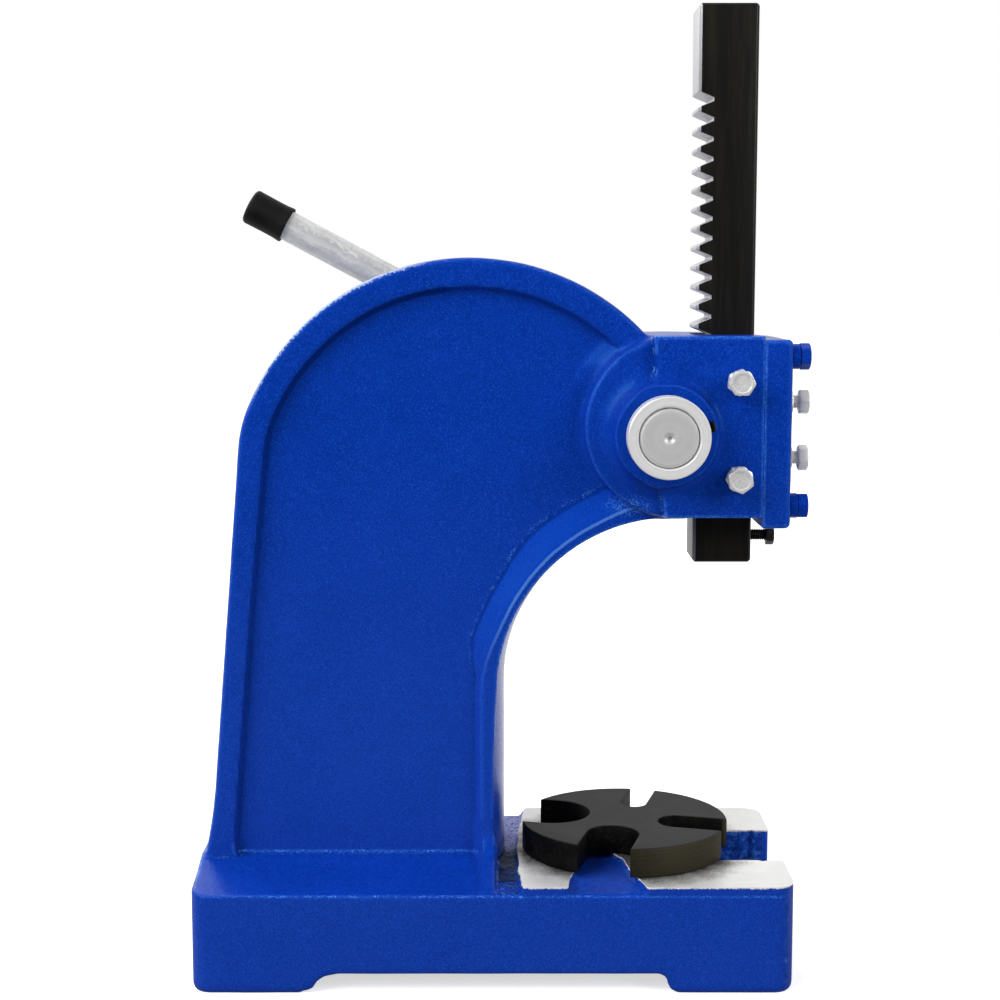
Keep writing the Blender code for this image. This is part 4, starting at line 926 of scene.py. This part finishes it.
# Zinc-plated lever: pale mottle, with a painted dark reflection streak along the bar
def leverZinc(name):
    finish = Finish(name, Metallic=0.25, Roughness=0.42)
    turn = (0, leverLean, 0)
    streak = finish.noise(1, finish.moved(leverCentre, turn, (0.12, 0.6, 0.6)), detail=4,
                          rough=0.65)
    mottle = finish.noise(2.2, detail=4, rough=0.65)
    fine = finish.noise(0.6)
    colour = finish.mix((streak * 0.6 + mottle * 0.45).between(0.40, 0.66), (0.60, 0.60, 0.59),
                        (0.86, 0.86, 0.85))
    across = finish.parts(finish.moved(leverCentre, turn))[2]
    # painted reflection: a dark streak along the bar, a little off its axis
    line = (across - 2 + (mottle - 0.5) * 7).size().between(1.6, 0.4) * streak.between(0.35, 0.6)
    return finish.cover(finish.mix(line * 0.6, colour, (0.36, 0.36, 0.35)), 0.34 + mottle * 0.2,
                        fine * 0.008 + streak * 0.012)


# Moulded rubber: fine grain and soft, slow dents
def capRubber(name):
    finish = Finish(name, Roughness=0.62, Specular_IOR_Level=0.22)
    grain = finish.noise(0.5, detail=3, rough=0.6)
    cloud = finish.noise(6, detail=3)
    colour = finish.mix(cloud.between(0.35, 0.7), (0.0025, 0.0025, 0.0023),
                        (0.0060, 0.0060, 0.0053))
    return finish.cover(colour, 0.50 + cloud * 0.25, grain * 0.015 + cloud * 0.06)


# Black oxide on small screws: cloudy, with a fine grain
def blackOxide(name):
    finish = Finish(name, Metallic=0.4, Roughness=0.38)
    grain = finish.noise(0.6, detail=3)
    cloud = finish.noise(2.5, detail=3)
    colour = finish.mix(cloud.between(0.4, 0.7), (0.008, 0.009, 0.009), (0.030, 0.032, 0.031))
    return finish.cover(colour, 0.28 + grain * 0.25, grain * 0.01)


collarFinish = turnedSteel("collarSteel", grey(0.96), grey(0.82), 0.34)
shaftFinish = turnedSteel("shaftSteel", grey(0.69), grey(0.585), 0.40)
boltFinish = plainSteel("boltZinc", grey(0.84), (0.70, 0.70, 0.69), 0.30)
# painted light: a brighter copy of the zinc for the front screws, which sit in the cover plate's
# shadow
frontLitFinish = plainSteel("frontZincLit", (0.99, 0.97, 0.93), (0.84, 0.82, 0.78), 0.32, metallic=0.2)
brassFinish = plainSteel("gibBrass", (0.70, 0.50, 0.20), (0.45, 0.30, 0.11), 0.36,
                         scratch=(1.5, 1.5, 0.06))
pinFinish = plainSteel("pinSteel", grey(0.70), (0.48, 0.48, 0.47), 0.30)
ramFinish = blackRam("ramBlack")
screwFinish = blackOxide("screwBlack")
plateFinish = blackPlate("plateBlack")
zincFinish = leverZinc("leverZinc")
rubberFinish = capRubber("capRubber")
print("stage: metal, rubber and brass ready")

coverPlate = {"step": 0.8, "round": 2.7, "holeRadius": 3.3, "triangles": 40000}


# Cover plate: a cast block with round front edges, its back face ground flat
def makeCoverPlate():
    axes = gridAxes((12.5, -36, 192.5), (28, 36, 277), coverPlate["step"])
    x, y, z = openAxes(axes)
    field = smoothMax(roundedRectangle(y, z, (-34, 194.75), (34, 274.4), 2), x - 26.3,
                      coverPlate["round"])
    field = smoothMax(field, 14.2 - x, 0.8) + 0.05 * castWaves(x, y, z, 14, 5, 8)
    item = addPiece("coverPlate", makeMesh("coverPlate", *fieldSurface(field, axes)),
                    [castingFinish, machinedFinish], "press_body", ["front_cover_plate"])
    thinOut(item, coverPlate["triangles"])
    back = cutterMesh("coverBack", boxParts((10, -60, 180), (14.5, 60, 290)), slot=0)
    holes = coverBoltPlaces + [(0, height) for height in frontScrewHeights]
    drills = cutterMesh("coverHoles", *[
        drillParts(coverPlate["holeRadius"], (14, y, z), (40, y, z), 32) for y, z in holes])
    cutAway(item, back, drills)
    softEdges(item.data, 38)
    markBends(item.data, field, axes)
    flattenShading(item)


makeCoverPlate()
print("stage: cover plate ready")

# Hexagon screws and nuts: the first set is M6, the stop screw's is M5
hexagon = {"faceShare": 0.97, "chamferSlope": 0.55, "edge": 0.12, "columns": 48,
           "threadDepth": 0.52, "threadRows": 7, "cornerShare": 0.985, "dish": 0.55}
screw = {"flats": 10, "head": 4.2, "shank": 3, "pitch": 1, "nut": 4.8, "bore": 3.3}
stopScrew = {"flats": 8, "head": 3.5, "shank": 2.5, "pitch": 0.8}
washer = {"outer": 5.3, "inner": 3.2, "thick": 3.2, "rise": 0.35, "edge": 0.15, "steps": 60}
hexAngle = np.arange(hexagon["columns"]) * 2 * math.pi / hexagon["columns"]
hexZero = np.zeros_like(hexAngle)


# Rows of (radius per angle, along): the chamfer's cone meets the hexagon, whose corners are
# slightly worn, in curves
def hexRows(flats, high, turn, lowChamfer):
    local = (hexAngle - math.radians(turn) + math.pi / 6) % (math.pi / 3) - math.pi / 6
    corner = flats / math.sqrt(3) * hexagon["cornerShare"]
    radius = smoothMin(flats / 2 / np.cos(local), corner, 0.12)
    rim = hexZero + flats / 2 * hexagon["faceShare"]
    drop = (radius - rim) * hexagon["chamferSlope"]
    edge = hexagon["edge"]
    rows = [(rim - edge * 2, hexZero + high), (rim, hexZero + high - edge * 0.4),
            (radius - edge * 0.4, high - drop), (radius, high - drop - edge)]
    if lowChamfer:
        return rows + [(radius, drop + edge), (radius - edge * 0.4, drop),
                       (rim, hexZero + edge * 0.4), (rim - edge * 2, hexZero)]
    return rows + [(radius, hexZero + edge), (radius - edge, hexZero)]


# Thread: the radius falls by the depth in a triangle wave of height and angle
def threadRows(radius, pitch, start, end):
    depth = hexagon["threadDepth"] * pitch
    count = max(int(abs(end - start) / pitch * hexagon["threadRows"]), 2)
    rows = []
    for height in np.linspace(start, end, count):
        wave = np.abs(((height / pitch - hexAngle / (2 * math.pi)) % 1) - 0.5) * 2
        fade = min(abs(height - end) / pitch, 1)
        rows.append((radius - depth * np.clip(wave * 1.25 - 0.12, 0, 1) - (1 - fade) * depth * 0.8,
                     hexZero + height))
    return rows


# Rows of radii and heights, carried round an axis
def addHexPiece(name, rows, centre, direction, finish, node, body="press_body", ring=False):
    points = np.stack([np.stack([radius * np.cos(hexAngle), radius * np.sin(hexAngle), height],
                                axis=-1) for radius, height in rows])
    mesh = makeMesh(name, along(points.reshape(-1, 3), centre, direction),
                    gridFaces(len(rows), len(hexAngle), ring))
    cleanMesh(mesh)
    softEdges(mesh, 26)
    addPiece(name, mesh, [finish], body, [node])


# Screw: its head's seat is at the centre, the head stands along the direction, the thread behind
def addScrew(name, centre, direction, length, turn, finish, node, body="press_body",
             sizes=screw, lowChamfer=False):
    face = sizes["flats"] / 2 * hexagon["faceShare"]
    head, shank = sizes["head"], sizes["shank"]
    dish = head - hexagon["dish"]
    rows = [(hexZero + radius, hexZero + height) for radius, height in (
        (0, dish), (face * 0.68, dish), (face * 0.74, dish), (face * 0.84, head),
        (face * 0.88, head))]
    rows += hexRows(sizes["flats"], head, turn, lowChamfer)
    rows += [(hexZero + shank, hexZero), (hexZero + shank, hexZero - 0.3)]
    rows += threadRows(shank, sizes["pitch"], -0.4, -length + 0.2)
    rows += [(hexZero + shank * 0.7, hexZero - length), (hexZero, hexZero - length)]
    addHexPiece(name, rows, centre, direction, finish, node, body)


def addNut(name, centre, direction, turn, node):
    bore, height = screw["bore"], screw["nut"]
    rows = [(hexZero + bore, hexZero + height - 0.5), (hexZero + bore + 0.5, hexZero + height)]
    rows += hexRows(screw["flats"], height, turn, True)
    rows += [(hexZero + bore + 0.5, hexZero), (hexZero + bore, hexZero + 0.5)]
    addHexPiece(name, rows, centre, direction, boltFinish, node, ring=True)


# Split spring washer: a square section carried round a low helix, its two cut ends apart
def addSpringWasher(name, centre, turn, node):
    outer, inner, thick, low = [washer[key] for key in ("outer", "inner", "thick", "edge")]
    steps = washer["steps"]
    angle = math.radians(turn) + np.linspace(math.radians(5), math.radians(355), steps)
    lift = np.linspace(0, washer["rise"], steps)
    section = np.array([(inner, low), (inner, 0), (inner + low, 0), (outer - low, 0),
                        (outer, low), (outer, thick - low), (outer - low, thick),
                        (inner + low, thick), (inner, thick - low)])
    radius = section[None, :, 0]
    points = np.stack([radius * np.cos(angle)[:, None], radius * np.sin(angle)[:, None],
                       section[None, :, 1] + lift[:, None]], axis=-1)
    mesh = makeMesh(name, along(points.reshape(-1, 3), centre, alongX),
                    gridFaces(steps, len(section)))
    cleanMesh(mesh, fill=True)
    softEdges(mesh, 40)
    addPiece(name, mesh, [hardwarePaint], "press_body", [node])


def makeScrews():
    for label, (y, z), turn in zip(("NearUpper", "NearLower", "FarUpper", "FarLower"),
                                   coverBoltPlaces, (27, 54, 40, 3)):
        node = label.replace("Upper", "_upper").replace("Lower", "_lower").lower()
        addSpringWasher("springWasher" + label, (26.55, y, z), turn * 7, "cover_washer_" + node)
        addScrew("coverBolt" + label, (30.2, y, z), alongX, 31.8, turn, hardwarePaint,
                 "cover_bolt_" + node)
    for label, z, turn in zip(("Upper", "Lower"), frontScrewHeights, (-10, 20)):
        node = label.lower()
        addNut("frontNut" + label, (26.6, 0, z), alongX, turn + 24, "front_lock_nut_" + node)
        addScrew("frontScrew" + label, (34.2, 0, z), alongX, 19.5, turn, frontLitFinish,
                 "front_adjusting_screw_" + node, lowChamfer=True)
    for label, z, turn in zip(("Upper", "Lower"), sideScrewHeights, (-2, 38)):
        node = label.lower()
        addNut("sideNut" + label, (3.8, -34.3, z), -alongY, turn + 25, "side_lock_nut_" + node)
        addScrew("sideScrew" + label, (3.8, -39.5, z), -alongY, 24.3, turn, boltFinish,
                 "side_adjusting_screw_" + node)
    addScrew("ramStopScrew", (20.7, 0, 187.8), alongX, 19.4, 30, screwFinish, "ram_stop_screw",
             "ram_bar", stopScrew)


makeScrews()
print("stage: screws, nuts and washers ready")

# Shaft, collar and lever
shaft = {"near": 12.3, "far": 19.7, "hub": 22.5, "hubStart": 43.3, "hubEnd": 85.3, "leverHole": 7.3}
collar = {"outer": 17.2, "inner": 12.6, "seat": -41.3, "length": 10.7, "screwTilt": 14,
          "screwTip": 19.6, "screwEnd": 12.7}
lever = {"radius": 7, "low": -64, "high": 208.5, "capTop": 2.9}
leverWay = np.array([-math.cos(leverLean), 0, math.sin(leverLean)])


def makeShaft():
    near, far, hub, start, end, hole = shaft.values()
    profile = [(0, -49.6), (0.8, -50.2), (1, -51.1), (2.2, -51.85), (2.6, -52), (3, -52),
               (near - 1.6, -52), (near - 1.3, -52), (near - 1, -51.92), (near - 0.35, -51.2),
               (near, -50.7), (near, -13.3), (13.2, -13), (13.2, 13.3), (far - 0.4, 13.3),
               (far, 13.7), (far, start), (hub - 1.6, start)]
    profile += arcPoints((hub - 1.6, start + 1.6), 1.6, -90, 0, 5)
    profile += arcPoints((hub - 1.6, end - 1.6), 1.6, 0, 90, 5)
    profile += [(2.6, end), (2.1, end), (0.9, end - 0.9), (0, end - 1.4)]
    item = addTurned("pinionShaft", profile, collarCentre, alongY, [shaftFinish, shaftFinish],
                     "pinion", ["pinion_shaft"], steps=120)
    cutAway(item, cutterMesh("leverHole", drillParts(hole, leverCentre - leverWay * 30,
                                                     leverCentre + leverWay * 30, 64)))
    softEdges(item.data, 30)
    addModifier(item, "BEVEL", width=0.4 * metresPerMm, segments=2, limit_method="ANGLE",
                angle_limit=math.radians(50), use_clamp_overlap=True)
    applyModifiers(item)


# A CAD node's mesh as a copy to work on, and its welded bmesh
def weldedCopy(node):
    mesh = nodes[node].data.copy()
    bm = bmesh.new()
    bm.from_mesh(mesh)
    bmesh.ops.remove_doubles(bm, verts=bm.verts, dist=0.002 * metresPerMm)
    return mesh, bm


# The pinion's teeth are the CAD node's own: its toothed length, cut free and closed
def makeTeeth():
    mesh, bm = weldedCopy("pinion_shaft")
    for y, side in ((-13.05, -1), (13.25, 1)):
        place = (0, (y + pressShift[1]) * metresPerMm, 0)
        bmesh.ops.bisect_plane(bm, geom=bm.verts[:] + bm.edges[:] + bm.faces[:], plane_co=place,
                               plane_no=(0, side, 0), clear_outer=True, dist=0.0000001)
        fillHoles(bm)
    bmesh.ops.recalc_face_normals(bm, faces=bm.faces)
    bm.to_mesh(mesh)
    bm.free()
    mesh.materials.clear()
    softEdges(mesh, 30)
    addPiece("pinionTeeth", mesh, [shaftFinish], "pinion", [])


# Collar ring with a threaded hole, and its set screw: a cup of rings with a hexagon's socket
def makeCollar():
    outer, inner, seat, length, tilt, tip, deep = collar.values()
    front = seat - length
    profile = [(inner, seat), (outer - 0.6, seat), (outer, seat - 0.6), (outer, front + 0.9),
               (outer - 0.10, front + 0.35), (outer - 0.5, front), (outer - 0.8, front),
               (inner + 1, front), (inner + 0.75, front), (inner + 0.1, front + 0.75),
               (inner, front + 1.1)]
    item = addTurned("shaftCollar", [(r, -y) for r, y in profile], collarCentre, -alongY,
                     [collarFinish, collarFinish], "pinion", ["shaft_collar"],
                     steps=120, ring=True)
    way = np.array([math.cos(math.radians(tilt)), 0, math.sin(math.radians(tilt))])
    middle = np.array([pinionAxis[0], seat - length / 2, pinionAxis[1]])
    hole = drillParts(2.75, middle + way * 9, middle + way * 25, 40)
    cutAway(item, cutterMesh("collarHole", hole))
    softEdges(item.data, 30)
    profile = [(0, tip - 1.9), (1.15, tip - 1.9), (1.25, tip - 0.1), (1.4, tip), (2, tip),
               (2.45, tip - 0.45)]
    for height in np.arange(tip - 0.7, deep + 0.5, -0.4):
        profile += [(2.5, height), (2.1, height - 0.2)]
    addTurned("collarScrew", profile + [(1.8, deep), (0, deep)], middle, way, [screwFinish],
              "pinion", ["collar_set_screw"], steps=40, angle=25)


# Bar with eased ends, and a cap at each end that is hollow over it
def makeLever():
    radius, low, high, top = lever.values()
    profile = [(0, low), (radius - 0.8, low), (radius - 0.2, low + 0.2), (radius, low + 0.8)]
    profile += [(radius, height) for height in np.linspace(low + 4, high - 4, 60)]
    profile += [(radius, high - 0.8), (radius - 0.2, high - 0.2), (radius - 0.8, high), (0, high)]
    addTurned("leverBar", profile, leverCentre, leverWay, [zincFinish], "lever", ["lever_bar"],
              steps=64)
    profile = [(0, top), (5.4, top - 0.05)] + arcPoints((6.5, top - 1.9), 1.8, 88, 0, 6)
    profile += [(8.22, -2), (8.15, -8), (8.2, -13), (8.42, -15.4), (8.5, -16.4), (8.4, -16.95),
                (8.05, -17.1), (7.5, -16.9), (7.3, -16.3), (7.3, 0.3), (0, 0.3)]
    for name, node, end, way in (("leverCapLong", "lever_cap_long", high, leverWay),
                                 ("leverCapShort", "lever_cap_short", -low, -leverWay)):
        addTurned(name, profile, leverCentre + way * end, way, [rubberFinish], "lever", [node],
                  steps=72, angle=45)


makeShaft()
makeTeeth()
makeCollar()
makeLever()
print("stage: shaft, collar and lever ready")

ram = {"edge": 0.35, "flatAngle": 1, "edgeAngle": 20}


# Ram: the CAD bar with its edges broken and every tooth edge eased
def makeRam():
    mesh, bm = weldedCopy("ram")
    bmesh.ops.dissolve_limit(bm, angle_limit=math.radians(ram["flatAngle"]), verts=bm.verts,
                             edges=bm.edges)
    bm.to_mesh(mesh)
    bm.free()
    mesh.materials.clear()
    item = addPiece("ramBar", mesh, [ramFinish], "ram_bar", ["ram"])
    addModifier(item, "BEVEL", width=ram["edge"] * metresPerMm, segments=3, limit_method="ANGLE",
                angle_limit=math.radians(ram["edgeAngle"]))
    applyModifiers(item)
    softEdges(item.data, 32)


anvil = {"radius": 46, "thick": 12.7, "low": 46.8, "chamfer": 0.6, "turn": -15,
         "widths": (17, 11.5, 34.5, 23), "reaches": (15.7, 17, 16, 13.6)}


# Rim arcs between the slots, and each slot in along one side, round its end and out again; the
# inset narrows the plate and widens the slots, so each ring has the same count of points
def anvilOutline(inset):
    points = []
    radius = anvil["radius"] - inset
    halves = [width / 2 + inset for width in anvil["widths"]]
    mouths = [math.degrees(math.asin(half / radius)) for half in halves]
    for index, reach in enumerate(anvil["reaches"]):
        turn = anvil["turn"] + index * 90
        half = halves[index]
        centre = reach + anvil["widths"][index] / 2
        rimX = math.sqrt(radius ** 2 - half ** 2)
        side = [(x, -half) for x in np.linspace(rimX, centre, 8)[:-1]]
        end = arcPoints((centre, 0), half, -90, -270, 41)
        local = np.array(side + end + [(x, -y) for x, y in side[::-1]])
        c, s = math.cos(math.radians(turn)), math.sin(math.radians(turn))
        points += [(x * c - y * s, x * s + y * c) for x, y in local]
        points += arcPoints((0, 0), radius, turn + mouths[index],
                            turn + 90 - mouths[(index + 1) % 4], 46)[1:-1]
    return np.array(points) + plateCentre


# Anvil plate: a round outline with four unlike slots, chamfered round both faces
def makeAnvil():
    low, c = anvil["low"], anvil["chamfer"]
    top = low + anvil["thick"]
    rings = []
    for inset, height in ((c * 2, top), (c, top), (c * 0.3, top - c * 0.3), (0, top - c),
                          (0, low + c), (c * 0.3, low + c * 0.3), (c, low), (c * 2, low)):
        ring = anvilOutline(inset)
        rings.append(np.concatenate([ring, np.full((len(ring), 1), height)], axis=1))
    mesh = makeMesh("anvilPlate", np.concatenate(rings), gridFaces(len(rings), len(rings[0])))
    cleanMesh(mesh, fill=True)
    item = addPiece("anvilPlate", mesh, [plateFinish, machinedFinish], "anvil", ["anvil_plate"])
    addModifier(item, "TRIANGULATE", ngon_method="BEAUTY")
    applyModifiers(item)
    socket = drillParts(6.3, (*plateCentre, 40), (*plateCentre, 54.8), 48)
    cutAway(item, cutterMesh("socket", socket))
    softEdges(item.data, 24)


# Hidden nodes keep their CAD meshes and only get better materials
def dressNodes():
    for name, finish in (("side_gib", brassFinish), ("front_gib", brassFinish),
                         ("anvil_pivot_pin", pinFinish)):
        for slot in nodes[name].material_slots:
            slot.material = finish.material


makeRam()
makeAnvil()
dressNodes()
print("stage: ram, plate and hidden pieces ready")

# Camera, floor and light: a soft white surround that is dim on the camera's side
studio = {
    "camera": (-0.00198, -0.78982, 0.2976), "pitch": 6.948, "lens": 63.93,
    "ambient": 0.36, "dim": 0.04, "floorGlow": 0.62,
}
lamps = (("keyLamp", (-1.75, -1.15, 1.78), 0.25, 1.9, 67),
         ("edgeLamp", (-1.25, 1.15, 1.40), 0.25, 1.8, 26),
         ("fillLamp", (1.20, -0.85, 0.75), 0.2, 0.8, 10))


def makeCamera():
    camera = bpy.data.cameras.new("photoCamera")
    camera.lens = studio["lens"]
    camera.sensor_width = 36
    camera.clip_end = 20
    item = addObject("photoCamera", camera)
    item.location = studio["camera"]
    item.rotation_euler = (math.radians(90 - studio["pitch"]), 0, 0)
    bpy.context.scene.camera = item


# Square soft lamp that looks at the point above the origin at the target height
def makeLamp(name, place, targetZ, size, power):
    light = bpy.data.lights.new(name, "AREA")
    light.shape = "RECTANGLE"
    light.size = light.size_y = size
    light.energy = power
    item = addObject(name, light)
    item.location = place
    item.rotation_euler = (Vector((0, 0, targetZ)) - Vector(place)).to_track_quat(
        "-Z", "Y").to_euler()


# Pale floor that shows white to the camera and to metal behind the press, and keeps its shadow
def makeFloor():
    mesh = makeMesh("floor", [[-4000, -3000, 0], [4000, -3000, 0], [4000, 9000, 0],
                              [-4000, 9000, 0]], [[0, 1, 2, 3]])
    finish = Finish("floorWhite", Roughness=0.8, Specular_IOR_Level=0, Emission_Strength=1)
    x, y, z = finish.parts(finish.moved())
    camera, glossy = finish.add("ShaderNodeLightPath", output=("Is Camera Ray", "Is Glossy Ray"))
    behind = y.between(-150, 250)
    far = (x * x + y * y).root().between(500, 1500)
    seen = finish.mix(camera, grey(0.38), finish.mix(finish.noise(3), grey(0.80), grey(0.84)))
    finish.feed("Base Color", finish.mix(glossy * (1 - behind), seen, grey(0.05)))
    glow = (camera * (1 + far * 0.5) + glossy * behind) * studio["floorGlow"]
    finish.feed("Emission Color", finish.mix(glow, grey(0), grey(1)))
    mesh.materials.append(finish.material)
    addObject("floor", mesh)


# White to the camera; metal sees it dim in front and bright behind; it lights softly
def makeWorld():
    world = bpy.data.worlds.new("studioWhite")
    bpy.context.scene.world = world
    world.use_nodes = True
    world.node_tree.nodes.clear()
    sky = NodeTree(world.node_tree)
    camera, glossy = sky.add("ShaderNodeLightPath", output=("Is Camera Ray", "Is Glossy Ray"))
    away = sky.parts(sky.add("ShaderNodeTexCoord", output="Generated"))[1].between(-0.10, 0.55)
    ambient, seen, white = [
        sky.add("ShaderNodeBackground", {}, {"Color": grey(1), "Strength": strength})
        for strength in (studio["ambient"], studio["dim"] + away * (1 - studio["dim"]), 1)]
    light = sky.add("ShaderNodeMixShader", {}, {0: glossy, 1: ambient, 2: seen})
    light = sky.add("ShaderNodeMixShader", {}, {0: camera, 1: light, 2: white})
    sky.add("ShaderNodeOutputWorld", {}, {"Surface": light})


makeCamera()
makeFloor()
makeWorld()
for lamp in lamps:
    makeLamp(*lamp)
bpy.context.scene.view_settings.view_transform = "Standard"
print("stage: studio ready")
